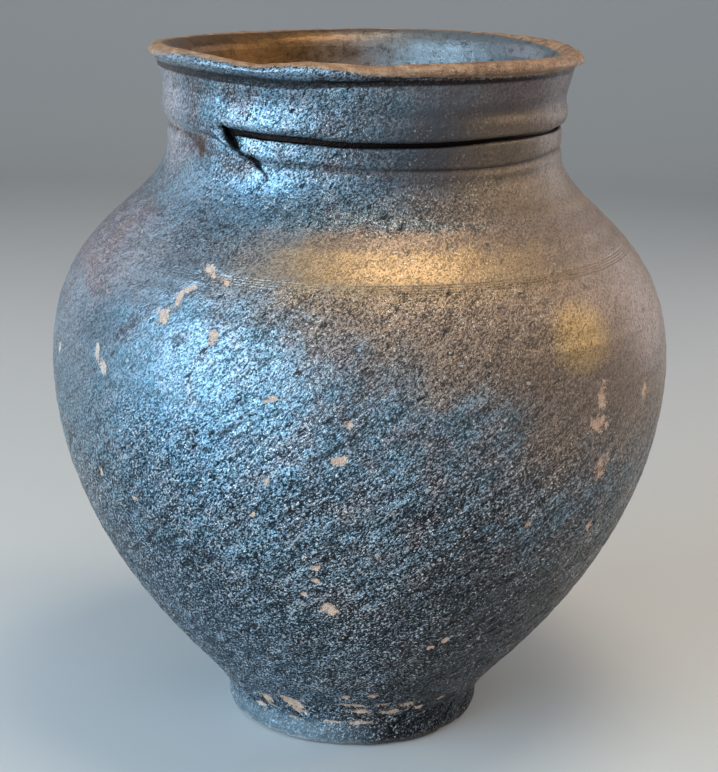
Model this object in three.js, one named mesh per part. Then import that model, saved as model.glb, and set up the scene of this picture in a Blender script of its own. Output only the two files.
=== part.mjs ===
// A wide-mouthed stoneware storage jar, thrown in sections and luted together.
// Millimetres, +Z up, origin on the ground under the middle of the foot.
import * as THREE from "three";

// Driving sizes of the pot.
const jarHeight = 301;
const footRadius = 57;
const footHeight = 16;
const bellyRadius = 135;
const bellyHeight = 165;
const neckRadius = 84;

// Clay thicknesses, and the skin of slip between two luted faces.
const wall = 7;
const floorThickness = 9;
const neckThickness = 5;
const bandThickness = 2;
const slip = 0.3;

// The foot ring: its bevelled edge, the ring it stands on and the hollow inside it.
const footBevel = 5;
const footBevelRise = 4;
const footRingWidth = 16;
const footRecess = 6;

// How full the wall swells: lengths of the curve handles at the foot, belly, shoulder and neck.
const footFlareOut = 30;
const footFlareUp = 30;
const hipFullness = 66;
const shoulderFullness = 63;
const neckSweep = 30;

// The bands applied round the neck, from the bottom up: how high each stretch is, and how
// far it stands out from the neck.
const cordonHeight = 8;
const cordonSwell = 0.5;
const grooveHeight = 1.5;
const collarSwellHeight = 7;
const collarSwell = 2.7;
const collarDrawHeight = 5;
const collarWaist = 1.5;
const collarFlareHeight = 9.5;
const collarFlare = 5;

// The rolled lip on top of them.
const lipHeight = 10;
const lipOverhang = 4;
const lipBevel = 5;

// Coils of clay pressed into the joints on the inside: how far they reach along the wall
// from the joint, and how far they stand off it.
const coilReach = 7;
const coilStandOff = 2.5;

// Facets: steps round the pot and along its curves.
const turns = 64;
const wallSteps = 12;
const coilSteps = 4;
const lipSteps = 6;

// Dark iron glaze, the lip where it has worn thin, and bare clay.
const glaze = { color: 0x2b2522, roughness: 0.42, metalness: 0.15 };
const wornGlaze = { color: 0xa07c64, roughness: 0.6, metalness: 0 };
const clay = { color: 0x8a6450, roughness: 0.9, metalness: 0 };

// Heights and radii that follow from them.
const lipBottom = jarHeight - lipHeight;
const collarBottom = lipBottom - collarFlareHeight - collarDrawHeight - collarSwellHeight;
const cordonTop = collarBottom - grooveHeight;
const neckRootHeight = cordonTop - cordonHeight;
const floorTop = footHeight + floorThickness;
const footInnerRadius = footRadius - footBevel - footRingWidth;
const neckOuterRadius = neckRadius - bandThickness;
const neckInnerRadius = neckOuterRadius - neckThickness;
const bandInnerRadius = neckOuterRadius + slip;
const collarTopRadius = neckRadius + collarFlare;
const mouthRadius = collarTopRadius + lipOverhang;

const at = (radius, height) => new THREE.Vector2(radius, height);

const lowerCurve = new THREE.CubicBezierCurve(
  at(footRadius, footHeight),
  at(footRadius + footFlareOut, footHeight + footFlareUp),
  at(bellyRadius, bellyHeight - hipFullness),
  at(bellyRadius, bellyHeight),
);
const upperCurve = new THREE.CubicBezierCurve(
  at(bellyRadius, bellyHeight),
  at(bellyRadius, bellyHeight + shoulderFullness),
  at(neckRadius, neckRootHeight - neckSweep),
  at(neckRadius, neckRootHeight),
);

// The outer points of a curve, and the same points moved in square to it by the wall.
function wallLines(curve) {
  const outer = curve.getPoints(wallSteps);
  const inner = outer.map((point, i) => {
    const along = curve.getTangent(i / wallSteps);
    return at(point.x - along.y * wall, point.y + along.x * wall);
  });
  return { outer, inner };
}

const lower = wallLines(lowerCurve);
const upper = wallLines(upperCurve);
const neckLine = [at(neckInnerRadius, neckRootHeight), at(neckInnerRadius, lipBottom)];

// Radius at a height of a line of rising points, carried on straight past its ends.
function radiusAt(line, height) {
  let i = 1;
  while (i < line.length - 1 && line[i].y < height) i++;
  const low = line[i - 1];
  const high = line[i];
  return low.x + ((high.x - low.x) * (height - low.y)) / (high.y - low.y);
}

// The points of a line between two heights, with its ends exactly on them.
function stretch(line, bottom, top) {
  const inside = line.filter((point) => point.y > bottom + slip && point.y < top - slip);
  return [at(radiusAt(line, bottom), bottom), ...inside, at(radiusAt(line, top), top)];
}

// The radius at a height that is clear of the inside of the lower wall by the slip.
function insideFace(height) {
  const radius = radiusAt(lower.inner, height);
  const lean = radiusAt(lower.inner, height + slip) - radius;
  return radius - Math.hypot(slip, lean);
}

// A piece turned from an outline that runs up its outside and down its inside.
function turned(name, outline, finish) {
  const profile = outline[0].x === 0 ? outline : [...outline, outline[0].clone()];
  const geometry = new THREE.LatheGeometry(profile, turns).rotateX(Math.PI / 2);
  const mesh = new THREE.Mesh(geometry, new THREE.MeshStandardMaterial(finish));
  mesh.name = name;
  return mesh;
}

function footRing() {
  return turned("foot_ring", [
    at(footInnerRadius, 0),
    at(footRadius - footBevel, 0),
    at(footRadius, footBevelRise),
    at(footRadius, footHeight),
    at(footInnerRadius, footHeight),
  ], glaze);
}

// The floor disc, with a spigot that centres it in the foot ring.
function baseSlab() {
  const spigot = footInnerRadius - slip;
  return turned("base_slab", [
    at(0, footRecess),
    at(spigot, footRecess),
    at(spigot, footHeight),
    at(insideFace(footHeight), footHeight),
    at(insideFace(floorTop), floorTop),
    at(0, floorTop),
  ], clay);
}

function lowerWall() {
  return turned("lower_wall", [
    ...stretch(lower.outer, footHeight, bellyHeight),
    ...stretch(lower.inner, footHeight, bellyHeight).reverse(),
  ], glaze);
}

function shoulderWall() {
  return turned("shoulder_wall", [
    ...stretch(upper.outer, bellyHeight, neckRootHeight),
    ...stretch(upper.inner, bellyHeight, neckRootHeight).reverse(),
  ], glaze);
}

// The upright tube inside the bands.
function neckWall() {
  return turned("neck_wall", [
    at(neckOuterRadius, neckRootHeight),
    at(neckOuterRadius, lipBottom),
    at(neckInnerRadius, lipBottom),
    at(neckInnerRadius, neckRootHeight),
  ], glaze);
}

// The lower, narrow band applied at the root of the neck.
function neckCordon() {
  const swell = neckRadius + cordonSwell;
  return turned("neck_cordon", [
    at(bandInnerRadius, neckRootHeight),
    at(neckRadius, neckRootHeight),
    at(swell, neckRootHeight + cordonHeight / 3),
    at(swell, cordonTop - cordonHeight / 3),
    at(neckRadius, cordonTop),
    at(bandInnerRadius, cordonTop),
  ], glaze);
}

// The broad band above it, which swells over the groove and draws in under the lip.
function neckCollar() {
  const swellTop = collarBottom + collarSwellHeight;
  return turned("neck_collar", [
    at(bandInnerRadius, collarBottom),
    at(neckRadius, collarBottom),
    at(neckRadius + collarSwell, collarBottom + collarSwellHeight / 2),
    at(neckRadius + collarSwell, swellTop),
    at(neckRadius + collarWaist, swellTop + collarDrawHeight),
    at(collarTopRadius, lipBottom),
    at(bandInnerRadius, lipBottom),
  ], glaze);
}

// The rolled lip, luted on top of the neck and the collar.
function rimLip() {
  const roll = lipHeight / 2;
  const crest = Array.from({ length: lipSteps + 1 }, (_, i) => {
    const angle = Math.PI * ((0.75 * i) / lipSteps - 0.25);
    const out = roll * Math.cos(angle);
    const up = roll * Math.sin(angle);
    return at(mouthRadius - roll + out, jarHeight - roll + up);
  });
  return turned("rim_lip", [
    at(neckInnerRadius, lipBottom),
    at(collarTopRadius, lipBottom),
    ...crest,
    at(neckInnerRadius + lipBevel, jarHeight - roll / 2),
  ], wornGlaze);
}

// A coil pressed against the inside of a joint, thinned out to nothing above and below it.
function jointCoil(name, below, above, height) {
  const bottom = height - coilReach;
  const top = height + coilReach;
  const wallFace = [
    at(radiusAt(below, bottom) - slip, bottom),
    at(radiusAt(below, height) - slip, height),
    at(radiusAt(above, top) - slip, top),
  ];
  const shown = Array.from({ length: coilSteps - 1 }, (_, i) => {
    const share = (i + 1) / coilSteps;
    const shownHeight = top - (top - bottom) * share;
    const stand = slip + coilStandOff * Math.sin(Math.PI * share);
    return at(radiusAt(shownHeight < height ? below : above, shownHeight) - stand, shownHeight);
  });
  return turned(name, [...wallFace, ...shown], clay);
}

// The coil in the corner where the floor meets the wall, pressed hollow with a thumb.
function floorCoil() {
  const top = floorTop + coilReach;
  const corner = insideFace(floorTop);
  return turned("floor_coil", [
    at(corner - coilReach, floorTop),
    at(corner, floorTop),
    at(insideFace(top), top),
    at(corner - coilReach / 3, floorTop + coilReach / 4),
  ], clay);
}

const jar = new THREE.Group();
jar.add(
  footRing(),
  baseSlab(),
  lowerWall(),
  shoulderWall(),
  neckWall(),
  neckCordon(),
  neckCollar(),
  rimLip(),
  floorCoil(),
  jointCoil("belly_coil", lower.inner, upper.inner, bellyHeight),
  jointCoil("neck_coil", upper.inner, neckLine, neckRootHeight),
);

export default jar;
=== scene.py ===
"""A wide-mouthed stoneware jar with a dark, pitted iron glaze that has worn tan on the lip.

Each operator makes one piece, or one group of like pieces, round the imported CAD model.
Outlines and hand marks are worked out in millimetres; meshes and node inputs are in metres.
"""
import math
from types import SimpleNamespace

import bpy
import numpy as np
from mathutils import Matrix, Vector


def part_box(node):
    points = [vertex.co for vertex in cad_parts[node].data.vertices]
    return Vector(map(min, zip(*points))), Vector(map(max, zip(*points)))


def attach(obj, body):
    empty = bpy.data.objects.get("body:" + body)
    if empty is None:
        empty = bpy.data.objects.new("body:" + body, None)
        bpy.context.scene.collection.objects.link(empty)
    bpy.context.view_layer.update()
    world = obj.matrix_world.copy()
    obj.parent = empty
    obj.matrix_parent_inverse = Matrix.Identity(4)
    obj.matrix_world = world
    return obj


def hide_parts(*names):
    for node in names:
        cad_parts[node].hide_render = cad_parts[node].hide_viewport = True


bl_info = {
    "name": "Stoneware jar",
    "version": (1, 0, 0),
    "blender": (4, 5, 0),
    "location": "3D View > Sidebar > Jar",
    "description": "Builds a glazed stoneware jar round its CAD model",
    "category": "Object",
}

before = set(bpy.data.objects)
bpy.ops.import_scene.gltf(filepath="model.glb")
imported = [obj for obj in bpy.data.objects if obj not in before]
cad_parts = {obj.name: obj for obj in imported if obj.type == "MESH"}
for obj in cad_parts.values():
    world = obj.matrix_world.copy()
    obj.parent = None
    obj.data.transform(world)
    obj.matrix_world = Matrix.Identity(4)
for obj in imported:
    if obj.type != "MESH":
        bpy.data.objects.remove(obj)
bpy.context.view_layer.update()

MM = 0.001
BODY = "root"


def node_top(node):
    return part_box(node)[1].z


def node_bottom(node):
    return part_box(node)[0].z


def node_radius(node):
    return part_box(node)[1].x


# ---------------------------------------------------------------------------
# What a user would change
# ---------------------------------------------------------------------------

def length(name, description, default):
    return bpy.props.FloatProperty(
        name=name, description=description, default=default, min=0.0,
        unit="LENGTH", subtype="DISTANCE", precision=5)


def colour(name, description, default):
    return bpy.props.FloatVectorProperty(
        name=name, description=description, default=default, min=0.0, max=1.0,
        size=3, subtype="COLOR")


class JarSizes(bpy.types.PropertyGroup):
    """Sizes of the jar, most of them read from the CAD model."""
    foot_radius: length("Foot radius", "Outside of the foot ring", node_radius("foot_ring"))
    foot_height: length("Foot height", "Top of the foot ring", node_top("foot_ring"))
    belly_radius: length("Belly radius", "Mean radius at the belly, under the relief of the glaze",
                         node_radius("lower_wall") - 0.8 * MM)
    belly_height: length("Belly height", "Where the two halves of the body meet",
                         node_top("lower_wall"))
    neck_root: length("Neck root", "Where the shoulder turns into the neck",
                      node_top("shoulder_wall"))
    neck_radius: length("Neck radius", "Outside of the neck above the shoulder",
                        node_radius("neck_cordon") - 0.5 * MM)
    tube_radius: length("Neck tube radius", "Outside of the tube behind the two bands",
                        node_radius("neck_wall"))
    cordon_top: length("Lower band top", "Top of the narrow band", node_top("neck_cordon"))
    collar_bottom: length("Upper band bottom", "Bottom of the broad band",
                          node_bottom("neck_collar"))
    lip_bottom: length("Lip bottom", "Where the lip sits on the neck", node_bottom("rim_lip"))
    lip_radius: length("Lip radius", "Outside of the lip", node_radius("rim_lip"))
    jar_height: length("Jar height", "Highest point of the lip", node_top("rim_lip"))
    wall: length("Wall", "Thickness of the body", 7 * MM)
    lump_depth: length("Lump depth", "How deep the wide hollows of the wall are", 0.30 * MM)
    grain_depth: length("Grain depth", "How deep the coarse pits of the glaze are", 0.34 * MM)
    furrow_depth: length("Furrow depth", "How deep the furrows of the brush are", 0.42 * MM)
    peel_depth: length("Peel depth", "How deep the fine pits of the glaze look", 0.42 * MM)
    comb_depth: length("Comb depth", "How deep the combed lines on the shoulder are", 0.42 * MM)
    grit_size: length("Grit size", "Longest side of a grain of grit", 1.1 * MM)


class JarColours(bpy.types.PropertyGroup):
    """Colours of the glazes, the clay, the stage and the lamps."""
    dark_glaze: colour("Dark glaze", "Thick iron glaze", (0.042, 0.043, 0.050))
    # Partly a painted reflection: its blue stands in part for the window light on the left of the
    # jar and of the lip.
    blue_glaze_and_reflection: colour("Blue-black glaze", "Glaze with a metal sheen", (0.20, 0.28, 0.35))
    brown_glaze: colour("Brown glaze", "Thin glaze on the shoulder", (0.235, 0.165, 0.125))
    violet_glaze: colour("Violet glaze", "Thin glaze on the right of the neck",
                         (0.118, 0.090, 0.090))
    # Partly a painted highlight: on the front of the band and on the right of the collar.
    golden_glaze_and_highlight: colour("Golden glaze", "Bright band under the neck", (0.42, 0.285, 0.155))
    inside_glaze: colour("Inside glaze", "Thin glaze inside the neck", (0.155, 0.076, 0.025))
    worn_lip: colour("Worn lip", "Glaze worn thin on the lip", (0.42, 0.265, 0.165))
    clay: colour("Clay", "Fired clay", (0.36, 0.20, 0.135))
    chipped_clay: colour("Chipped clay", "Fresh clay in a chip", (0.70, 0.48, 0.36))
    grit: colour("Grit", "Pale grains in the glaze", (0.62, 0.57, 0.52))
    floor: colour("Floor", "Floor and backdrop", (0.60, 0.61, 0.62))
    window_light: colour("Window light", "Large soft light on the left", (0.58, 0.83, 1.0))
    lamp_light: colour("Lamp light", "Small warm lights", (1.0, 0.84, 0.60))
    rim_light: colour("Rim light", "Soft lights behind the jar", (0.95, 0.94, 1.0))
    fill_light: colour("Fill light", "Light from all round", (0.94, 0.97, 1.0))


def sizes():
    return bpy.context.scene.jar_sizes


def colours():
    return bpy.context.scene.jar_colours


def mm(value):
    return value / MM


# ---------------------------------------------------------------------------
# Node trees
# ---------------------------------------------------------------------------

def find_socket(sockets, key):
    """A socket by its number, its identifier or its name."""
    if isinstance(key, int):
        return sockets[key]
    named = [s for s in sockets if s.name == key or s.identifier == key]
    shown = [s for s in named if s.enabled]
    return (shown or named)[0]


class Amount:
    """A socket that can be written into sums; each operator adds its Math node."""

    def __init__(self, work, socket):
        self.work = work
        self.socket = socket

    def math(self, operation, *others, first=None):
        values = [first, self] if first is not None else [self, *others]
        node = self.work.node("ShaderNodeMath", {"operation": operation},
                              dict(enumerate(values)))
        return Amount(self.work, node.outputs[0])

    def __add__(self, other):
        return self.math("ADD", other)

    __radd__ = __add__

    def __sub__(self, other):
        return self.math("SUBTRACT", other)

    def __rsub__(self, other):
        return self.math("SUBTRACT", first=other)

    def __mul__(self, other):
        return self.math("MULTIPLY", other)

    __rmul__ = __mul__

    def __truediv__(self, other):
        return self.math("DIVIDE", other)

    def __rtruediv__(self, other):
        return self.math("DIVIDE", first=other)

    def __pow__(self, other):
        return self.math("POWER", other)

    def __neg__(self):
        return self.math("MULTIPLY", -1.0)

    def highest(self, other):
        return self.math("MAXIMUM", other)

    def lowest(self, other):
        return self.math("MINIMUM", other)

    def step(self, low, high):
        """0 below low, 1 above high and a smooth rise between, or a fall if low is above high."""
        rising = low < high
        node = self.work.node(
            "ShaderNodeMapRange", {"interpolation_type": "SMOOTHSTEP", "clamp": True},
            {0: self, 1: min(low, high), 2: max(low, high),
             3: 0.0 if rising else 1.0, 4: 1.0 if rising else 0.0})
        return Amount(self.work, node.outputs[0])


class Work:
    """Adds nodes to one tree, where place is the socket that gives the place on the jar."""

    def __init__(self, tree):
        self.tree = tree

    def node(self, kind, settings=None, inputs=None):
        """Any node: its type, its settings, and the values or links of its sockets."""
        node = self.tree.nodes.new(kind)
        for name, value in (settings or {}).items():
            setattr(node, name, value)
        for key, value in (inputs or {}).items():
            socket = find_socket(node.inputs, key)
            if isinstance(value, Amount):
                value = value.socket
            if isinstance(value, bpy.types.NodeSocket):
                self.tree.links.new(value, socket)
            else:
                socket.default_value = value
        return node

    def read(self, node, key=0):
        return Amount(self, find_socket(node.outputs, key))

    def vector(self, operation, first, **inputs):
        node = self.node("ShaderNodeVectorMath", {"operation": operation}, {0: first, **inputs})
        return node.outputs["Value" if operation == "LENGTH" else "Vector"]

    def parts(self, vector):
        node = self.node("ShaderNodeSeparateXYZ", inputs={0: vector})
        return [self.read(node, i) for i in range(3)]

    def joined(self, *parts):
        """A vector of up to three parts, where those left out are 0."""
        return self.node("ShaderNodeCombineXYZ", inputs=dict(enumerate(parts))).outputs[0]

    def turned_about_z(self, vector, angle):
        node = self.node("ShaderNodeVectorRotate", {"rotation_type": "Z_AXIS"},
                         {"Vector": vector, "Angle": angle})
        return node.outputs[0]

    def drawn_out(self, drag, stretch):
        """The place, drawn out on a slant round the pot, as the glaze was brushed on."""
        height = self.parts(self.place)[2]
        across, back, up = self.parts(self.turned_about_z(self.place, height * -drag))
        return self.joined(across, back, up * stretch)

    def noise(self, place, size, detail, roughness, seed):
        """Noise from 0 to 1 with lumps of a size in metres."""
        node = self.node("ShaderNodeTexNoise", {"noise_dimensions": "4D"},
                         {"Vector": place, "W": seed, "Scale": 1 / size, "Detail": detail,
                          "Roughness": roughness})
        return self.read(node, 0)


class Finish(Work):
    """A material, written as expressions on places on the jar."""

    def __init__(self, name):
        self.material = bpy.data.materials.new(name)
        self.material.use_nodes = True
        super().__init__(self.material.node_tree)
        self.tree.nodes.clear()
        self.place = self.node("ShaderNodeTexCoord").outputs["Object"]

    def round_jar(self):
        """The place as x, y, z, its radius, and how far to the right it lies (-1 to 1)."""
        x, y, z = self.parts(self.place)
        radius = (x * x + y * y) ** 0.5 + 1e-5
        return x, y, z, radius, x / radius

    def levelled(self, squeeze):
        """The place, drawn out level, as marks of the wheel are."""
        across, back, up = self.parts(self.place)
        return self.joined(across * squeeze, back * squeeze, up)

    def cells(self, place, size, dimensions="3D"):
        """How far it is to the middle of the nearest cell, in sizes of a cell."""
        node = self.node("ShaderNodeTexVoronoi", {"voronoi_dimensions": dimensions},
                         {"Vector": place, "Scale": 1 / size})
        return self.read(node, "Distance")

    def mark(self, name):
        """A number kept on the piece's own vertices."""
        return self.read(self.node("ShaderNodeAttribute", {"attribute_name": name}), "Fac")

    def frayed(self, name, noise, fray):
        """A mark with an uneven edge."""
        return self.mark(name) + (noise - 0.5) * fray

    def blend(self, share, first, second):
        """From one colour to another by a share."""
        def tint(value):
            return value if isinstance(value, bpy.types.NodeSocket) else (*value, 1.0)
        node = self.node("ShaderNodeMix", {"data_type": "RGBA"},
                         {0: share, 6: tint(first), 7: tint(second)})
        return node.outputs[2]

    def coated(self, base, *coats):
        """A colour under coats of others, each given as its share and its colour."""
        for share, tint in coats:
            base = self.blend(share, base, tint)
        return base

    def mixed(self, share, first, second):
        """From one number to another by a share."""
        return first * (1 - share) + second * share

    def surface(self, base, roughness, metallic=0.0, relief=None):
        inputs = {"Base Color": base, "Roughness": roughness, "Metallic": metallic}
        if relief is not None:
            bump = self.node("ShaderNodeBump", inputs={"Strength": 1.0, "Distance": 1.0,
                                                       "Height": relief})
            inputs["Normal"] = bump.outputs[0]
        shader = self.node("ShaderNodeBsdfPrincipled", inputs=inputs)
        self.node("ShaderNodeOutputMaterial", inputs={"Surface": shader.outputs[0]})
        return self.material


class Shaping(Work):
    """A Geometry Nodes tree with named inputs."""

    def __init__(self, name, inputs):
        tree = bpy.data.node_groups.new(name, "GeometryNodeTree")
        super().__init__(tree)
        tree.is_modifier = True
        tree.interface.new_socket("Geometry", in_out="INPUT", socket_type="NodeSocketGeometry")
        for title, kind in inputs.items():
            tree.interface.new_socket(title, in_out="INPUT", socket_type="NodeSocket" + kind)
        tree.interface.new_socket("Geometry", in_out="OUTPUT", socket_type="NodeSocketGeometry")
        self.entry = self.node("NodeGroupInput")
        self.place = self.node("GeometryNodeInputPosition").outputs[0]

    def given(self, title):
        return Amount(self, self.entry.outputs[title])

    def kept(self, name, kind="FLOAT"):
        node = self.node("GeometryNodeInputNamedAttribute", {"data_type": kind}, {"Name": name})
        return self.read(node, "Attribute")

    def keep(self, geometry, name, value, kind="FLOAT", domain="POINT"):
        node = self.node("GeometryNodeStoreNamedAttribute", {"data_type": kind, "domain": domain},
                         {"Geometry": geometry, "Name": name, "Value": value})
        return node.outputs[0]

    def finish(self, geometry, material):
        real = self.node("GeometryNodeRealizeInstances", inputs={"Geometry": geometry})
        painted = self.node("GeometryNodeSetMaterial",
                            inputs={"Geometry": real.outputs[0], "Material": material})
        self.node("NodeGroupOutput", inputs={"Geometry": painted.outputs[0]})
        return self.tree


def plain_mesh(tree, mesh, inputs, name):
    """The plain mesh that a tree makes of a mesh."""
    blank = bpy.data.objects.new(name + "_blank", mesh)
    modifier = blank.modifiers.new("shape", "NODES")
    modifier.node_group = tree
    for item in tree.interface.items_tree:
        if item.in_out == "INPUT" and item.name in inputs:
            modifier[item.identifier] = inputs[item.name]
    bpy.context.scene.collection.objects.link(blank)
    graph = bpy.context.evaluated_depsgraph_get()
    made = bpy.data.meshes.new_from_object(blank.evaluated_get(graph),
                                           preserve_all_data_layers=True, depsgraph=graph)
    bpy.data.objects.remove(blank)
    made.name = name
    made.materials.clear()
    made.materials.append(inputs["Material"])
    made.polygons.foreach_set("material_index", np.zeros(len(made.polygons), np.int32))
    return made


# ---------------------------------------------------------------------------
# Outlines, as rows of a piece turned on the wheel
# ---------------------------------------------------------------------------

ROUND = 600            # columns round an outside piece
INSIDE_ROUND = 300     # columns round a small inside piece

# Rows along an outline, mm apart: on the outside and the inside of the wall, over the combed
# lines, and where the shoulder steps into the neck.
ROW = 1.5
INSIDE_ROW = 5.5
COMB_ROW = 0.2
NECK_STEP_ROW = 0.6

# How full the wall swells: lengths of its curve handles at the foot, belly, shoulder and neck,
# as in the CAD model, mm.
FOOT_FLARE = 30
HIP_FULLNESS = 66
SHOULDER_FULLNESS = 63
NECK_SWEEP = 30

FOOT_RING = 21         # from the hollow of the foot to its outside, mm
NECK_WALL = 5          # thickness of the neck tube, mm
MOUTH_FLARE = 3.0      # how far the neck opens inside, up to the lip, mm
COMB_LINES = (219.0, 218.2, 217.4, 216.6)
COMB_BAND = (215.6, 220.0)

# Gaps, mm: the slip between two luted faces, an inside piece from the wall, and the room that
# relief needs inside the CAD model's box: on the ground, and under the floor, over the crest
# of the lip and round it.
SLIP = 0.3
SEAT = 0.35
GROUND_GAP = 0.3
FLOOR_GAP = 0.4
CREST_GAP = 0.9
ROLL_GAP = 0.5

# The way out of the clay, (outwards, up), on a row that two pieces share.
FOOT_LEAN = (0.93, -0.37)
GROUND_LEAN = (0.6, -0.1)
LEVEL_LEAN = (1.0, 0.0)
INWARD_LEAN = (-1, 0)
UPWARD_LEAN = (0, 1)

# The slant of the glaze: radians round for each metre up, and how far heights are squeezed.
# The furrows of the brush lie flatter and run longer, by these shares of it.
DRAG = 4.5
STRETCH = 0.80
STROKE_DRAG = 2.3
STROKE_STRETCH = 0.35


def curve(start, start_handle, end_handle, end, count=400):
    """Points along a curve with two handles."""
    t = np.linspace(0, 1, count)[:, None]
    points = [np.array(p, float) for p in (start, start_handle, end_handle, end)]
    return ((1 - t) ** 3 * points[0] + 3 * (1 - t) ** 2 * t * points[1]
            + 3 * (1 - t) * t * t * points[2] + t ** 3 * points[3])


def rounded(points, passes=2):
    """A broken line with its corners cut, but for its ends."""
    line = np.array(points, float)
    for _ in range(passes):
        cut = [line[0]]
        for a, b in zip(line[:-1], line[1:]):
            cut += [a * 0.75 + b * 0.25, a * 0.25 + b * 0.75]
        line = np.array(cut + [line[-1]])
    return line


def lower_line():
    s = sizes()
    foot, low = mm(s.foot_radius), mm(s.foot_height)
    belly, high = mm(s.belly_radius), mm(s.belly_height)
    return curve((foot, low), (foot + FOOT_FLARE, low + FOOT_FLARE),
                 (belly, high - HIP_FULLNESS), (belly, high))


def upper_line():
    s = sizes()
    belly, low = mm(s.belly_radius), mm(s.belly_height)
    neck, high = mm(s.neck_radius), mm(s.neck_root)
    return curve((belly, low), (belly, low + SHOULDER_FULLNESS), (neck, high - NECK_SWEEP),
                 (neck, high))


def outward(line):
    """The way square out of a line at each of its points."""
    along = np.gradient(line, axis=0)
    along /= np.linalg.norm(along, axis=1)[:, None]
    return np.stack([along[:, 1], -along[:, 0]], 1)


def moved_in(line, depth):
    """A line moved in square to itself."""
    return line - depth * outward(line)


def radius_of(line, level):
    return float(np.interp(level, line[:, 1], line[:, 0]))


def numbers(data, key, width=1):
    """What each item of some mesh data holds, as an array."""
    values = np.empty(len(data) * width)
    data.foreach_get(key, values)
    return values.reshape(-1, width) if width > 1 else values


def keep_mark(mesh, name, values):
    """Keeps a number on each vertex."""
    kept = mesh.attributes.new(name, "FLOAT", "POINT")
    kept.data.foreach_set("value", np.array(values, np.float32))


class Run:
    """A stretch of an outline: how far apart its rows are, how deep its relief is, which face of
    the clay it is (0 outside, 1 inside), the stretches of height where its rows lie closer, and
    the way out of the clay on its first and last row, where another run meets them."""

    def __init__(self, points, step, relief=1.0, inside=0.0, fine=(), leans=()):
        self.relief = relief
        self.inside = inside
        points = np.array(points, float)
        steps = np.linalg.norm(np.diff(points, axis=0), axis=1)
        pace = np.full(len(steps), step)
        for low, high, fine_rise in fine:
            middle = (points[:-1, 1] + points[1:, 1]) / 2
            rise = np.abs(np.diff(points[:, 1]))
            band = (middle > low) & (middle < high)
            pace[band] = fine_rise * steps[band] / np.maximum(rise[band], 1e-6)
        count = np.concatenate([[0], np.cumsum(steps / pace)])
        at = np.linspace(0, count[-1], max(1, round(count[-1])) + 1)
        self.points = np.stack([np.interp(at, count, points[:, i]) for i in range(2)], 1)
        self.leans = outward(self.points)
        for end, lean in zip((0, -1), leans):
            self.leans[end] = lean


def joint(start, end, step):
    """A straight face against another piece, which has no relief."""
    return Run([start, end], step, relief=0.0)


def outline_mesh(runs, closed=True):
    """The rows of a piece as a mesh of points, with the way out of the clay kept on each. Where
    two runs meet, the one with the deeper relief keeps the row."""
    rows = []
    for run in runs:
        for i, (point, lean) in enumerate(zip(run.points, run.leans)):
            row = SimpleNamespace(point=point, out=lean * run.relief, relief=run.relief,
                                  corner=float(i in (0, len(run.points) - 1)),
                                  inside=run.inside)
            if not rows or not np.allclose(rows[-1].point, point, atol=1e-6):
                rows.append(row)
            elif row.relief > rows[-1].relief:
                rows[-1] = row
    if closed and np.allclose(rows[-1].point, rows[0].point, atol=1e-6):
        last = rows.pop()
        if last.relief > rows[0].relief:
            rows[0] = last
    if not closed:
        rows[0].corner = rows[-1].corner = 0.0
    mesh = bpy.data.meshes.new("outline")
    mesh.from_pydata([(row.point[0] * MM, 0.0, row.point[1] * MM) for row in rows], [], [])
    lean = mesh.attributes.new("lean", "FLOAT_VECTOR", "POINT")
    lean.data.foreach_set("vector", [c for row in rows for c in (row.out[0], 0.0, row.out[1])])
    for name in ("corner", "inside"):
        keep_mark(mesh, name, [getattr(row, name) for row in rows])
    return mesh


def turning_tree():
    """Turns an outline about the upright axis: a grid, one row for each point of the outline
    and one column for each step round, bent round and closed."""
    w = Shaping("turned_on_the_wheel", {"Outline": "Object", "Columns": "Int", "Closed": "Bool",
                                        "Material": "Material"})
    outline = w.node("GeometryNodeObjectInfo", inputs={"Object": w.given("Outline")})
    shape = outline.outputs["Geometry"]
    size = w.node("GeometryNodeAttributeDomainSize", inputs={"Geometry": shape})
    count = w.read(size, "Point Count")
    columns = w.given("Columns")
    rows = count + w.given("Closed")
    grid = w.node("GeometryNodeMeshGrid", inputs={
        "Size X": columns, "Size Y": rows - 1, "Vertices X": columns + 1, "Vertices Y": rows})
    across, along, _ = w.parts(w.place)
    column = (across + columns / 2).math("ROUND")
    row = (along + (rows - 1) / 2).math("ROUND").math("MODULO", count)
    angle = column / columns * math.tau - math.pi / 2

    def from_outline(value, kind):
        node = w.node("GeometryNodeSampleIndex", {"data_type": kind},
                      {"Geometry": shape, "Value": value, "Index": row})
        return node.outputs[0]

    place = from_outline(w.place, "FLOAT_VECTOR")
    lean = from_outline(w.kept("lean", "FLOAT_VECTOR"), "FLOAT_VECTOR")
    made = w.keep(grid.outputs[0], "out", w.turned_about_z(lean, angle), "FLOAT_VECTOR")
    for name in ("corner", "inside"):
        made = w.keep(made, name, from_outline(w.kept(name), "FLOAT"))
    bent = w.node("GeometryNodeSetPosition",
                  inputs={"Geometry": made, "Position": w.turned_about_z(place, angle)})
    joined = w.node("GeometryNodeMergeByDistance",
                    inputs={"Geometry": bent.outputs[0], "Distance": 0.001 * MM})
    smooth = w.node("GeometryNodeSetShadeSmooth", inputs={"Geometry": joined.outputs[0]})
    edges = w.keep(smooth.outputs[0], "sharp_edge", w.kept("corner").math("GREATER_THAN", 0.99),
                   "BOOLEAN", "EDGE")
    return w.finish(edges, w.given("Material"))


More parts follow.
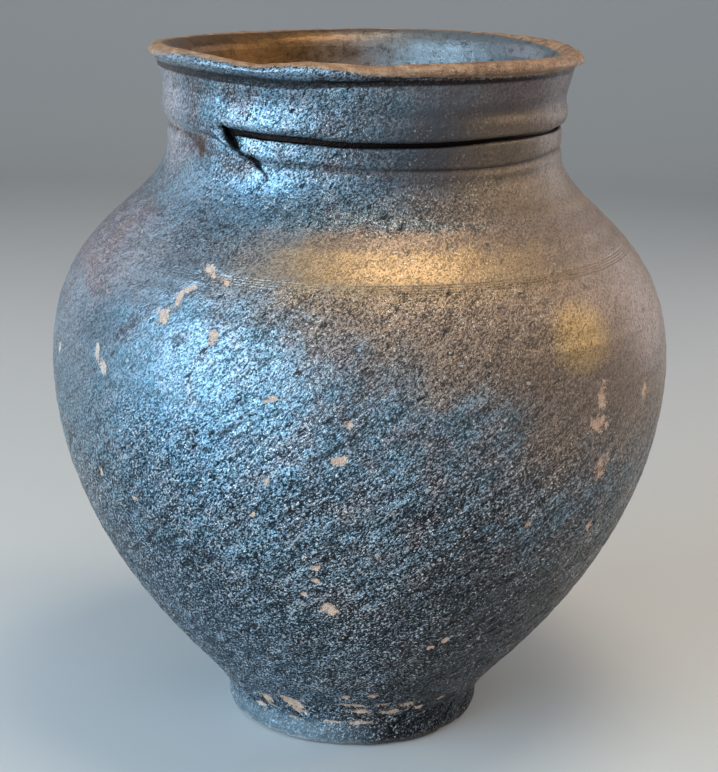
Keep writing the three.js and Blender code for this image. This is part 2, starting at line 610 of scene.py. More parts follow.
def relief_tree():
    """Relief of the glaze: wide lumps, coarse pits and the furrows of a brush, drawn out on a
    slant round the pot, which move each vertex along the way out that the wheel left on it."""
    w = Shaping("hand_thrown_relief", {
        "Lump Size": "Float", "Lump Depth": "Float", "Grain Size": "Float",
        "Grain Depth": "Float", "Furrow Size": "Float", "Furrow Depth": "Float",
        "Drag": "Float", "Stretch": "Float", "Seed": "Float", "Material": "Material"})
    height = w.parts(w.place)[2]

    def noise(where, size, detail, shift):
        return w.noise(where, w.given(size), detail, 0.55, w.given("Seed") + shift)

    slant = w.drawn_out(w.given("Drag"), w.given("Stretch"))
    strokes = w.drawn_out(w.given("Drag") * STROKE_DRAG, w.given("Stretch") * STROKE_STRETCH)
    lumps = (noise(slant, "Lump Size", 2.0, 0.0) - 0.5) * 2 * w.given("Lump Depth")
    pits = (noise(slant, "Grain Size", 1.5, 7.0) - 0.56) * 2 * w.given("Grain Depth")
    rough = 1 - w.kept("calm")
    patches = noise(slant, "Lump Size", 1.0, 13.0).step(0.40, 0.56)
    furrow = noise(strokes, "Furrow Size", 1.0, 3.0).step(0.45, 0.35) * patches \
        * (rough * 1.6 - 0.6).highest(0.0) * (1 - w.kept("inside")) \
        * (height.step(232 * MM, 214 * MM) * 0.7 + 0.3)
    push = lumps + pits * (rough * 0.75 + 0.25) - furrow * w.given("Furrow Depth")
    # The furrows are kept for the glaze, which paints shade in them.
    marked = w.keep(w.entry.outputs["Geometry"], "furrow", furrow)
    moved = w.node("GeometryNodeSetPosition", inputs={
        "Geometry": marked,
        "Offset": w.vector("SCALE", w.kept("out", "FLOAT_VECTOR"), Scale=push)})
    return w.finish(moved.outputs[0], w.given("Material"))


# ---------------------------------------------------------------------------
# Marks of the hand: all in millimetres, and in degrees round from the front to the right
# ---------------------------------------------------------------------------

def step(low, high, value):
    t = np.clip((value - low) / (high - low), 0, 1)
    return t * t * (3 - 2 * t)


def bell(value, middle, width):
    return np.exp(-((value - middle) / width) ** 2)


def highest(*fields):
    return np.maximum.reduce(fields)


def round_line(pairs, blur):
    """A line round the pot through (degrees, value) pairs, smoothed over a blur in degrees."""
    degrees = np.arange(-180, 180, 0.5)
    points = np.array(sorted(pairs), float)
    values = np.interp(degrees, points[:, 0], points[:, 1], period=360)
    weights = bell(np.arange(-40, 41) * 0.5, 0, blur)
    padded = np.concatenate([values[-40:], values, values[:40]])
    smooth = np.convolve(padded, weights / weights.sum(), mode="valid")
    return lambda azimuth: np.interp(azimuth, degrees, smooth, period=360)


def ripple(azimuth, seed, waves=(2, 3, 5, 8, 13)):
    """An uneven wave round the pot, about 1 high, always the same for a seed."""
    dice = np.random.RandomState(seed)
    turns = np.radians(azimuth)
    total = sum(np.cos(n * turns + dice.uniform(0, math.tau)) / (i + 1)
                for i, n in enumerate(waves))
    return total / sum(1 / (i + 1) for i in range(len(waves)))


GROOVE_RISE = round_line(((-60, 1.2), (-44, 1.2), (-41, 1.1), (-36, 0.9), (-29, 0.5), (-17, 0.1),
                          (-4, -0.9), (20, -0.7), (39, 0.3), (60, 0.3), (77, 0.1), (130, 0.4),
                          (180, -0.3), (-130, 0.3), (-85, 0.9)), 2.0)
LIP_EDGE_RISE = round_line(((-75, 0.8), (-59, 0.5), (-40, -0.7), (-26, -1.3), (-16, -1.1),
                            (-8, 0.2), (8, 1.4), (35, 2.0), (65, 2.1), (110, 1.2), (150, 0.6),
                            (180, 1.0), (-140, 0.4), (-110, 1.0)), 3.0)
CREST_RISE = round_line(((-74, -0.4), (-56, 0.2), (-45, -0.4), (-35, -1.5), (-29, -2.1),
                         (-25, -2.0), (-20, -0.9), (-15, -0.3), (-4, -0.4), (2, -1.1),
                         (7, -0.7), (17, 0.0), (35, 0.2), (62, -0.3), (80, -1.2), (95, -1.2),
                         (112, 0.2), (130, 0.35), (150, 0.3), (180, -0.3), (-165, -1.1),
                         (-148, -1.9), (-120, -1.9), (-105, -1.5), (-90, -0.9)), 2.0)
ROOT_RISE = round_line(((-34, -0.8), (0, -1.6), (40, -1.9), (68, -0.6), (180, -0.6)), 4.0)
GROOVE_FILL = round_line(((-180, 0), (-112, 0), (-104, 1), (-45, 1), (-42, 0), (180, 0)), 1.2)
NECK_STEP = round_line(((-180, .6), (-112, .5), (-100, 0), (-38, 0), (-34, 1), (80, 1),
                        (130, .7)), 2.0)
COMB_STRENGTH = round_line(((-180, .7), (-80, .25), (-30, .12), (-16, .7), (0, 1.0), (38, 1.0),
                            (55, .8), (75, .35), (100, .3), (140, .7)), 6)
# How far down its face the lip has been spared from wear.
LIP_SPARED = round_line(((-180, 0.5), (-90, .4), (-72, .5), (-55, 1.0), (-20, 1.0), (-5, .8),
                         (12, .3), (40, 0.0), (100, 0.2)), 6)

# The broad band has slumped over the narrow one on the left: the lower edge of the flap, how
# softly it ends and how thick it is there, the tear that ends it (degrees, height, depth, half
# width), the gash behind it and the dull patch between them (degrees, height, strength).
FLAP_EDGE = ((-180, 269.0), (-100, 269.3), (-72, 269.9), (-64, 270.3), (-59, 269.9),
             (-54.5, 269.1), (-49, 268.3), (-45, 267.5), (-42.6, 266.2), (-40.3, 264.4),
             (-37.4, 262.1), (-35, 260.4), (-32.2, 258.8), (-30, 257.2), (180, 257.2))
FLAP_SOFTNESS = ((-110, 2.2), (-75, 2.0), (-60, 0.6), (-50, 0.35))
FLAP_THICKNESS = ((-114, 0), (-102, 1.9), (-46, 1.9), (-38, 1.5), (-33, 0.9), (-29, 0.0))
FLAP_BACK = 84.2       # radius of the clay behind the flap, mm
PATH_RADIUS = 84       # radius at which the paths of the tear are measured, mm
TORN_NOTCH = ((-41.6, 270.6, 2.2, 1.2), (-40.0, 268.0, 2.8, 1.9), (-38.4, 264.8, 2.8, 1.9),
              (-36.4, 262.0, 2.0, 1.0), (-34.2, 261.0, 0.7, 0.5), (-32.3, 260.2, 1.5, 0.9),
              (-30.6, 258.4, 1.7, 1.2), (-28.8, 256.3, 1.0, 0.8), (-26.8, 253.8, 0.5, 0.6),
              (-26.7, 251.6, 0.3, 0.5))
TORN_STAIN = ((-92, 268.0, 0.8), (-72, 268.4, 0.9), (-62, 268.8, 1.0), (-56.5, 266.9, 1.0),
              (-52.2, 263.6, 1.0), (-51.6, 259.6, 0.9), (-50.2, 256.2, 0.5))
DULL_PATCH = ((-50, 262.5, 1.0), (-43, 259.6, 1.0), (-34, 255.0, 0.8))

# Places where the glaze has chipped off: degrees round, height, half width, half height, slant
# and, where it has only come off in flakes, how full of them the place is.
CHIPS = (
    (-3, 155.4, 4.2, 2.7, 10), (-5, 87, 4.6, 2.8, -20), (-7, 107.8, 2.3, 1.3, 10),
    (-7.5, 101.3, 2.4, 1.4, -15), (-10, 94, 1.7, 1.4, 0), (22, 67, 2.2, 1.7, 40),
    (19, 63, 2.0, 1.0, 20), (32, 123, 2.0, 1.6, 45), (-52.5, 182.5, 2.1, 4.2, 15),
    (-50, 178, 2.0, 4.0, 25), (-33.5, 214, 3.6, 1.8, 15, 0.8),
    (-35.4, 209, 2.0, 4.6, -12, 0.8), (-37.6, 202.5, 3.6, 4.0, 0),
    (-31, 220.5, 6.4, 1.9, -18, 0.45), (-27, 218, 3.8, 1.7, -20, 0.45),
    (-26, 198, 2.6, 3.2, 0), (-14.5, 177.6, 3.4, 1.6, 20, 0.7), (-15, 145.5, 1.6, 2.2, 0),
    (-18, 129.6, 1.4, 1.7, 0), (-44, 125, 1.8, 1.8, 0), (-54, 130.7, 1.6, 2.2, 0),
    (-70, 176, 2.0, 3.0, 0), (-1.5, 170, 2.2, 1.6, 0), (46, 172.5, 4.2, 6.4, 0, 0.4),
    (45, 161.5, 7.4, 4.2, 0, 0.45), (61, 167, 4.0, 6.4, 0, 0.35), (48, 141, 4.6, 7.6, 0, 0.4),
    (50, 114, 2.0, 2.6, 0), (-25, 22.6, 6.2, 2.9, -16), (-37, 20.8, 3.6, 2.6, -12),
    (-22, 17.8, 4.0, 1.8, -8), (-35, 16.4, 2.6, 1.4, -10), (-43, 13.7, 3.0, 1.3, -10, 0.7),
    (-26, 12, 4.5, 1.0, -6, 0.6), (0, 24.4, 6.5, 1.2, -4), (12, 24.4, 5.0, 1.0, 4, 0.7),
    (4, 20.6, 9.0, 1.1, 0, 0.7), (16, 19.2, 6.0, 1.4, 3), (-8, 13.0, 6.0, 0.9, -2, 0.7),
    (4, 12.8, 7.0, 1.2, 0), (22, 23.2, 5.5, 1.5, 4, 0.6), (28, 20.0, 4.5, 0.9, 6, 0.7),
    (-2, 30.6, 3.0, 1.4, 0), (7, 31.5, 3.0, 1.2, 5), (38, 22.4, 2.6, 1.5, 10, 0.7),
    (128, 141, 3.4, 2.4, 30), (171, 96, 3.0, 2.0, 0), (-152, 118, 2.4, 3.6, 20),
    (-118, 173, 3.2, 2.2, -10), (104, 78, 2.2, 1.8, 0), (-168, 214, 2.6, 1.6, 0),
    (146, 22, 7.0, 0.8, 0), (-140, 24, 6.0, 0.9, 4), (178, 18, 8.0, 0.7, 0),
)

# Depths and pitches of the other marks, mm.
COMB_TILT = 2.4            # how much higher the combed lines lie at the sides than in front
COMB_WIDTH = 0.19
OUT_OF_ROUND = 0.28
RINGS = ((9.1, 0.4), (13.7, 2.1), (5.9, 4.0))      # pitch and phase of the throwing rings
RING_DEPTH = 0.05
RIDGE_PITCH, RIDGE_DEPTH = 8.5, 0.45               # ridges of the fingers inside
NECK_STEP_DEPTH, NECK_STEP_SWELL = 0.60, 0.35      # groove at the root of the neck, swell below
FLAP_EDGE_SWELL = 0.22     # thickening along the edge of the flap, as a share of its thickness
STAIN_REACH, STAIN_DEPTH = 4.4, 0.6
DULL_REACH = 3.8
LIP_WAVE, LIP_DENTS = 0.45, 0.22
FOLD_DEPTH, FOLD_CRACK = 1.0, 0.35
FOOT_JOINT_SWELL, FOOT_JOINT_CRACK = 1.7, 0.35
FOOT_WAVE = 0.5
NICK_DEPTH, POCK_DEPTH = 1.9, 0.9                  # at the ground, and above it on the foot
THUMB_MARKS, THUMB_DEPTH = 14, 0.9                 # half as many as there are round a coil
SPIRAL_PITCH, SPIRAL_DEPTH = 6.5, 0.35             # on the floor
CHIP_DEPTH = 0.35


def near_path(azimuth, height, path):
    """How far each place on the neck is from a path, and the path's own numbers there."""
    across = np.radians(azimuth) * PATH_RADIUS
    best = np.full(azimuth.shape, 1e9)
    carried = [np.zeros(azimuth.shape) for _ in path[0][2:]]
    for start, end in zip(path[:-1], path[1:]):
        x0, x1 = math.radians(start[0]) * PATH_RADIUS, math.radians(end[0]) * PATH_RADIUS
        dx, dz = x1 - x0, end[1] - start[1]
        t = np.clip(((across - x0) * dx + (height - start[1]) * dz) / (dx * dx + dz * dz), 0, 1)
        away = np.hypot(across - x0 - t * dx, height - start[1] - t * dz)
        closer = away < best
        best = np.where(closer, away, best)
        for number, values in enumerate(carried):
            a, b = start[2 + number], end[2 + number]
            carried[number] = np.where(closer, a + (b - a) * t, values)
    return best, carried


def chip_field(azimuth, height, radius):
    """1 in the middle of a chip, 0 on its edge and below 0 outside it."""
    field = np.full(azimuth.shape, -1.0)
    for degrees, level, half_width, half_height, slant, *fullness in CHIPS:
        turn = (azimuth - degrees + 180) % 360 - 180
        across = np.radians(turn) * radius
        up = height - level
        c, s = math.cos(math.radians(slant)), math.sin(math.radians(slant))
        far = np.hypot((across * c + up * s) / half_width, (up * c - across * s) / half_height)
        full = fullness[0] if fullness else 1.0
        field = np.maximum(field, np.where(far < 1, (1 - far) * full, 1 - far))
    return field


def body_radius(height):
    """Mean outside radius of the body at a height."""
    line = np.concatenate([lower_line(), upper_line()[1:]])
    return np.interp(height, line[:, 1], line[:, 0])


def shaped_by_hand(mesh, piece):
    """Moves the vertices of a turned piece as the potter's hands, the comb, the tear in the neck
    band and the chips have, and keeps what the finishes need to know on them."""
    s = sizes()
    co = numbers(mesh.vertices, "co", 3) / MM
    out = numbers(mesh.attributes["out"].data, "vector", 3)
    inside = numbers(mesh.attributes["inside"].data, "value")
    outside = 1 - inside

    radius = np.hypot(co[:, 0], co[:, 1])
    azimuth = np.degrees(np.arctan2(co[:, 0], -co[:, 1]))
    height = co[:, 2]
    root, cordon, collar = mm(s.neck_root), mm(s.cordon_top), mm(s.collar_bottom)
    lip, top = mm(s.lip_bottom), mm(s.jar_height)

    # Levels that wander round the pot.
    lifted = height + COMB_TILT * (1 - np.cos(np.radians(azimuth))) \
        * step(200, 214, height) * step(238, 224, height)
    middle = (cordon + collar) / 2
    lifted += GROOVE_RISE(azimuth) * step(middle - 6, middle - 1, height) \
        * step(middle + 7, middle + 1, height)
    lifted += LIP_EDGE_RISE(azimuth) * step(lip - 7, lip, height) * step(lip + 6, lip, height)
    lifted += CREST_RISE(azimuth) * step(lip + 2, top - 2, height)
    if piece == "neck_cordon":
        lifted += GROOVE_FILL(azimuth) * (collar - cordon + 0.8) \
            * step(cordon - 3, cordon, height)
    moved_radius = radius.copy()
    if piece in ("lower_wall", "shoulder_wall"):
        moved_radius += body_radius(lifted) - body_radius(height)

    # How far each place stands out.
    push = OUT_OF_ROUND * ripple(azimuth, 3, (2, 3)) * step(20, 70, height)
    rings = sum(np.sin(height * math.tau / pitch + phase) for pitch, phase in RINGS)
    push += RING_DEPTH * rings * step(20, 40, height) * step(256, 240, height) * outside
    ridges = np.sin(height * math.tau / RIDGE_PITCH + np.radians(azimuth))
    push += RIDGE_DEPTH * ridges * inside * step(22, 40, height) * step(262, 245, height)

    comb = sum(bell(height, line, COMB_WIDTH) for line in COMB_LINES)
    push -= mm(s.comb_depth) * comb * COMB_STRENGTH(azimuth) * outside

    neck_step, strength = root + ROOT_RISE(azimuth), NECK_STEP(azimuth)
    push -= NECK_STEP_DEPTH * bell(height, neck_step, 0.95) * strength * outside
    push += NECK_STEP_SWELL * bell(height, neck_step - 3.0, 1.6) * strength * outside

    neck = outside * step(240, 250, height) * step(lip, lip - 8, height)
    edge, softness, thickness = (np.interp(azimuth, *np.array(line, float).T)
                                 for line in (FLAP_EDGE, FLAP_SOFTNESS, FLAP_THICKNESS))
    notch = np.array(TORN_NOTCH)[::-1]
    left = step(0.3, -0.7, azimuth - np.interp(lifted, notch[:, 1], notch[:, 0]))
    slumped = left * np.minimum(thickness, 1) * neck
    on_flap = step(edge - softness, edge + softness, lifted)
    level = FLAP_BACK + thickness - (0.04 if piece == "neck_cordon" else 0.0)
    push += slumped * on_flap * np.maximum(level - radius, 0)
    push -= slumped * (1 - on_flap) * np.maximum(radius - FLAP_BACK, 0) \
        * (piece == "neck_collar")
    push += slumped * FLAP_EDGE_SWELL * thickness * bell(lifted, edge + 0.8, 0.7) \
        * step(1.6, 0.6, softness)
    away, (depth, width) = near_path(azimuth, lifted, TORN_NOTCH)
    gap = bell(away, 0, np.maximum(width, 0.3)) * neck
    push -= depth * gap
    # What is kept of the gap is painted shade in the notch.
    gap *= np.clip(depth / 1.4, 0.8, 1)
    away, (stain,) = near_path(azimuth, lifted, TORN_STAIN)
    torn = stain * bell(away, 0, STAIN_REACH) * neck * (1 - on_flap)
    push -= STAIN_DEPTH * torn
    away, (dullness,) = near_path(azimuth, lifted, DULL_PATCH)
    dull = dullness * bell(away, 0, DULL_REACH) * neck * (1 - on_flap)

    # Creases that stay in shadow: under the lip, in the groove, at the root of the neck and
    # under the flap.
    spared = LIP_SPARED(azimuth)
    overhang = 1.3 + 2.9 * spared
    crease = outside * highest(
        step(lip + overhang, lip + 0.4 * overhang, height) * step(lip - 2.0, lip - 0.2, height),
        0.9 * bell(height, middle, 1.5) * (1 - GROOVE_FILL(azimuth)),
        0.72 * bell(height, neck_step, 1.35) * strength,
        0.8 * slumped * bell(lifted, edge - 0.9, 0.9))

    if piece == "rim_lip":
        on_lip = outside * step(lip + 0.5, lip + 3, height)
        push += LIP_WAVE * ripple(azimuth, 11, (3, 5, 9, 14, 22)) * on_lip
        push += LIP_DENTS * ripple(azimuth, 12, (31, 43, 57, 71)) * on_lip
        fold = step(-11, -8.5, azimuth) * step(9, -3, azimuth)
        push += FOLD_DEPTH * fold * on_lip * step(top - 1, lip + 5, height)
        push -= FOLD_CRACK * bell(azimuth, -10.2, 0.6) * on_lip
    if piece in ("foot_ring", "lower_wall"):
        push += FOOT_JOINT_SWELL * bell(height, 16.5, 4.5) * outside
        low = step(24, 6, height) * outside
        push += FOOT_WAVE * ripple(azimuth, 5, (2, 3, 7, 12, 19)) * low
        push -= FOOT_JOINT_CRACK * bell(height, 17.5 + 0.8 * ripple(azimuth, 9), 1.2) \
            * outside * (0.5 + 0.5 * ripple(azimuth, 8))
    if piece == "foot_ring":
        nicks = np.clip(ripple(azimuth, 21, (7, 11, 17, 29)) - 0.15, 0, 1)
        push -= NICK_DEPTH * nicks * step(8, 1, height) * outside
        pocks = np.clip(ripple(azimuth + 9 * np.sin(height), 23, (19, 27, 38, 51)) - 0.2, 0, 1)
        push -= POCK_DEPTH * pocks * step(15, 9, height) * outside
        out[:, 2] *= step(0.0, 3.0, height)
        mesh.attributes["out"].data.foreach_set("vector", out.ravel())
    if piece.endswith("coil"):
        thumb = np.sin(np.radians(azimuth) * THUMB_MARKS + 0.6 * ripple(azimuth, 31))
        push -= THUMB_DEPTH * np.abs(thumb)
    if piece == "base_slab":
        spiral = np.sin(radius * math.tau / SPIRAL_PITCH + np.radians(azimuth))
        push += SPIRAL_DEPTH * spiral * step(2, 8, radius)

    chip = np.where(outside > 0.5, chip_field(azimuth, lifted, moved_radius), -1.0)
    push -= CHIP_DEPTH * step(-0.1, 0.3, chip)

    # Where the glaze lies smooth: a band under the neck, the right of the shoulder and of the
    # neck, and the left of the belly and of the shoulder.
    right, left = step(150, 110, azimuth), step(-170, -140, azimuth)
    calm = highest(
        0.68 * (step(216, 220, lifted) * step(238, 233, lifted) * step(-30, -10, azimuth)
                * step(150, 100, azimuth)),
        0.9 * (step(8, 60, azimuth) * right) * step(105, 170, lifted),
        0.9 * step(240, 262, lifted) * step(-8, 25, azimuth) * right,
        0.5 * step(-36, -62, azimuth) * left * step(125, 165, lifted),
        0.55 * step(-16, -40, azimuth) * left * step(156, 178, lifted) * step(230, 216, lifted))

    # Where the glaze has worn off the lip: its crest, and further down its face on the right.
    outer = step(top - 9.6 + 6.9 * spared, top - 7.6 + 6.6 * spared, height)
    broad = 3.0 * step(50, 75, azimuth) * right
    inner = step(85.6 - broad, 87.6 - broad, radius)
    wear = np.where(inside > 0.5, inner, outer) * (piece == "rim_lip")

    turned = np.radians(azimuth)
    placed = np.stack([moved_radius * np.sin(turned), -moved_radius * np.cos(turned), lifted], 1)
    placed += out * push[:, None]
    mesh.vertices.foreach_set("co", (placed * MM).ravel())
    for name, values in (("calm", calm), ("chip", chip), ("wear", wear), ("torn", torn),
                         ("gap", gap), ("dull", dull), ("crease", crease)):
        keep_mark(mesh, name, values)
    mesh.update()


# ---------------------------------------------------------------------------
# Finishes
# ---------------------------------------------------------------------------

# Noises: size of a lump, detail, roughness and seed.
CLOUD = (42 * MM, 3, 0.6, 1.0)
SMUDGE = (13 * MM, 4, 0.65, 2.0)
MOTTLE = (3.2 * MM, 3, 0.6, 3.0)
SPECKLE = (0.5 * MM, 2, 0.6, 4.0)
PEEL = (0.95 * MM, 2, 0.62, 5.0)
BRUSHED = (1.1 * MM, 2, 0.6, 6.0)
MOUTH_EDGE = (16 * MM, 3, 0.6, 8.0)
SPECKS = (2.2 * MM, 1, 0.5, 9.0)
SPECK_GROUPS = (22 * MM, 2, 0.5, 10.0)
LIP_CLOUD = (24 * MM, 3, 0.6, 11.0)
LIP_MOTTLE = (2.6 * MM, 4, 0.65, 12.0)
LIP_GRAIN = (1.3 * MM, 3, 0.6, 14.0)
CLAY_CLOUD = (30 * MM, 3, 0.6, 15.0)
CLAY_MOTTLE = (4 * MM, 4, 0.65, 16.0)
CLAY_SPECKLE = (0.8 * MM, 2, 0.6, 17.0)
CLAY_RINGS = (1.6 * MM, 2, 0.6, 18.0)
GRIT_TONE = (5 * MM, 2, 0.5, 19.0)
GRIT_GRAIN = (0.5 * MM, 2, 0.6, 20.0)
GLINTS = (1.0 * MM, 1, 0.5, 21.0)
TINT = (12 * MM, 3, 0.6, 22.0)
BRUSH_STROKES = (4.5 * MM, 2, 0.5, 23.0)
GRIT_CLUSTERS = (26 * MM, 2, 0.6, 31.0)
FLOOR_TONE = (0.35, 2, 0.5, 40.0)

PIT_SIZE = 2.2 * MM
GASH_SIZE = 7 * MM

# Between which levels of the grain the painted highlights on its crests and the painted shade in
# its hollows set in, and between which strengths of the crease its painted shadow does.
CRESTS = (0.515, 0.585)
HOLLOWS = (0.50, 0.44)
CREASED = (0.20, 0.95)

# Tints that the glazes and the clay shade into, beside the colours that a user would change.
# Colours of painted shade, the first also of dark pits and short gashes.
NEAR_BLACK = (0.006, 0.006, 0.008)
FURROW_SHADE_BLACK = (0.008, 0.010, 0.014)
GROOVE_SHADE_BLACK = (0.006, 0.005, 0.005)
GAP_SHADE_BLACK = (0.004, 0.004, 0.005)
SHADED_BLACK = (0.014, 0.013, 0.017)
NECK_SHADE_BLACK = (0.012, 0.010, 0.011)
CREASE_SHADE_BROWN = (0.018, 0.011, 0.010)
LIP_CREASE_SHADE_BROWN = (0.012, 0.008, 0.007)
LIP_HOLLOW_SHADE = (0.010, 0.009, 0.010)
VIOLET_CLOUD = (0.120, 0.080, 0.086)
TEAL_CLOUD = (0.070, 0.160, 0.200)
# Colours of painted highlights and reflections, all but the smooth blue, the violet edge and the
# dull grey, which are the glaze's own.
LOW_HIGHLIGHT_BLUE = (0.12, 0.26, 0.38)
SMOOTH_BLUE = (0.060, 0.095, 0.125)
EDGE_HIGHLIGHT_BLUE = (0.30, 0.42, 0.50)
EDGE_VIOLET = (0.185, 0.130, 0.138)
ROOT_HIGHLIGHT_GREY = (0.28, 0.31, 0.36)
ROOT_HIGHLIGHT_BLUE = (0.20, 0.34, 0.46)
HIGHLIGHT_SPOT_GOLD = (0.38, 0.25, 0.075)
EDGE_REFLECTION_PINK = (0.33, 0.27, 0.28)
DULL_GREY = (0.070, 0.063, 0.072)
HIGHLIGHT_BLUE = (0.46, 0.66, 0.84)
HIGHLIGHT_GREY = (0.66, 0.64, 0.66)
HIGHLIGHT_TAN = (0.58, 0.43, 0.30)
HIGHLIGHT_WHITE = (0.84, 0.92, 1.0)
GLINT_WHITE = (0.92, 0.94, 0.96)
# Colours along the gash behind the flap, partly painted shade.
TORN_DARK = (0.040, 0.026, 0.019)
TORN_BROWN = (0.150, 0.085, 0.056)
CHIP_RED = (0.46, 0.27, 0.19)
CHIP_PALE = (0.84, 0.63, 0.47)
SCUFF_GREY = (0.25, 0.32, 0.37)
FOOT_BROWN = (0.10, 0.075, 0.060)
FOOT_GREY = (0.46, 0.45, 0.44)
MOUTH_GREY = (0.200, 0.228, 0.255)
MOUTH_ORANGE = (0.26, 0.135, 0.045)
MOUTH_DARK = (0.030, 0.018, 0.012)
CLAY_BROWN = (0.16, 0.085, 0.058)
CLAY_RED = (0.25, 0.125, 0.080)
LIP_DARK = (0.075, 0.050, 0.038)
# Painted highlight on the lip's crests.
LIP_HIGHLIGHT = (0.50, 0.57, 0.64)
LIP_BROWN = (0.22, 0.110, 0.058)
# Painted highlight on the specks of the tan.
LIP_TAN_HIGHLIGHT = (0.60, 0.42, 0.28)
LIP_FLECK = (0.115, 0.062, 0.036)


def along_strokes(w, x, y, z, wobble):
    """Where a place lies along and across the strokes of the brush, flat, in metres, with the
    way along the strokes squeezed so that round cells come out long."""
    around = x.math("ARCTAN2", -y) * (120 * MM)
    along = around * 0.80 + z * 0.60
    across = z * 0.80 - around * 0.60 + (wobble - 0.5) * (6 * MM)
    return w.joined(along * 0.30, across)


def iron_glaze():
    """Dark iron glaze: blue-black with a metal sheen below and to the left, its blue partly a
    painted reflection of the window light, brown and golden on the shoulder and to the right, the
    gold partly a painted highlight, pitted, with clay where it has chipped off. Painted highlights
    and painted shade also lie in its grain, creases, groove and notch, low on the right and round
    the neck."""
    c, s = colours(), sizes()
    w = Finish("pitted_iron_glaze")
    x, y, z, radius, side = w.round_jar()
    front = -y / radius
    cloud, tint, mottle, speckle, glints, speck_field, speck_groups = (
        w.noise(w.place, *look)
        for look in (CLOUD, TINT, MOTTLE, SPECKLE, GLINTS, SPECKS, SPECK_GROUPS))
    smudge = w.noise(w.drawn_out(6.0, 0.5), *SMUDGE)
    drawn = w.drawn_out(DRAG, STRETCH)
    peel = w.noise(drawn, *PEEL)
    pits = w.cells(drawn, PIT_SIZE)
    brushed = w.noise(w.levelled(0.14), *BRUSHED)
    strokes = w.noise(w.drawn_out(DRAG * STROKE_DRAG, STRETCH * STROKE_STRETCH), *BRUSH_STROKES)
    calm, chip, torn, inside = (w.mark(name) for name in ("calm", "chip", "torn", "inside"))
    crease = w.frayed("crease", speckle, 0.4).step(*CREASED)
    open_glaze = 1 - inside
    uneven = (cloud - 0.5) * 0.9 + (smudge - 0.5) * 0.7

    def up(low, high, wander=0, noise=uneven):
        """From 0 at one height to 1 at the other, in mm, along a line that wanders so far."""
        level = z + noise * (wander * MM) if wander else z
        return level.step(low * MM, high * MM)

    def right(low, high, wander=0):
        """From 0 to 1 across the jar, from -1 on its left edge to 1 on its right one."""
        return (side + uneven * wander if wander else side).step(low, high)

    # Where the glaze is brown: the shoulder, the right side and parts of the back. On the
    # shoulder the blue glaze comes further round to the right the lower it is.
    high = (z + uneven * (36 * MM) + right(-0.05, 0.45) * (17 * MM)).step(172 * MM, 206 * MM)
    under_neck = up(239, 234, 10)
    shoulder = high * under_neck \
        * (side + ((z - 228 * MM) * 10.3).lowest(-0.15) + uneven * 0.7).step(-0.75, -0.15)
    neck = (1 - under_neck) * right(-0.05, 0.70, 0.5)
    belly_right = up(118, 168, 60) * right(0.25, 0.68, 0.4)
    back = front.step(0.1, -0.7) * (cloud + smudge * 0.4).step(0.55, 0.85)
    brown = shoulder.highest(neck * 0.9).highest(belly_right * 0.85).highest(back * 0.7)

    # The bright golden band under the neck, golden glaze with a painted highlight on its front,
    # and the spot to the right of it, a painted highlight; the gold on the right of the collar is
    # partly a painted highlight too.
    ragged = z + ((smudge - 0.5) * (12 * MM) + (mottle - 0.5) * (8 * MM))
    facing = front.step(0.0, 0.3)
    band = ragged.step(210 * MM, 221 * MM) * ragged.step(232.5 * MM, 228 * MM)
    band = band * right(-0.55, -0.05, 0.35) * right(0.95, 0.25, 0.3) * facing
    # A painted highlight: a small golden ellipse on the front, right of the band.
    highlight_spot = (((side - 0.67) * 8.5) ** 2 + ((z - 196 * MM) * 60) ** 2).step(1.0, 0.0) * facing
    # Partly a painted highlight: the gold on the right of the collar.
    neck_gold = neck * up(283, 276, 6) * right(0.30, 0.60, 0.3)
    golden = band.highest(highlight_spot).highest(neck_gold * 0.45)

    # How much metal shows in the glaze: most on the left, where its blue is partly a painted
    # reflection of the window light, least low down on the right, where shade is painted.
    low = up(130, 30, 30)
    bluish = right(0.55, -0.55, 0.9)
    edgeless = w.mixed(up(200, 235), 1.0, right(-0.99, -0.66) * 0.75 + 0.25)
    violet_side = right(-0.60, -0.92) * up(198, 214) * under_neck
    sheen = (1 - brown) * (bluish * 0.72 + 0.28) * (1 - low * 0.22) * edgeless \
        * (1 - violet_side * 0.5)
    # Painted shade low down on the right, which also takes the metal out of the glaze there.
    shaded = w.mixed(up(150, 75, 34), 0.0, right(-0.10, 0.42, 0.5)) * (1 - brown * 0.7)

    # The colour of the glaze, from the left of the jar to the right and up the neck, with painted
    # highlights low on the left, on the far left of the belly and at the root of the neck, a
    # painted reflection on the left edge of the neck, and painted shade on the lower right and
    # round the neck.
    # Painted highlight: the blue of the window light carried down the lower left.
    left_low_highlight = right(0.0, -0.5) * up(185, 158)
    left_smooth = calm * right(-0.1, -0.5) * up(206, 194)
    # Painted highlight on the far left of the belly.
    left_edge_highlight = right(-0.58, -0.82) * up(192, 180) * up(112, 128)
    # Painted highlight on the left, at the root of the neck and over the shoulder below it.
    root_highlight = up(202, 214) * up(256, 249) * right(-0.15, -0.35, 0.3) * right(-0.92, -0.72)
    upper_neck = up(246, 262)
    # Painted reflection: a pale pink grazing reflection on the left edge of the neck, where the
    # metal is also taken out.
    pink_edge_reflection = upper_neck * right(-0.80, -0.94)
    dull = w.frayed("dull", mottle, 0.8).step(0.20, 0.70) * open_glaze
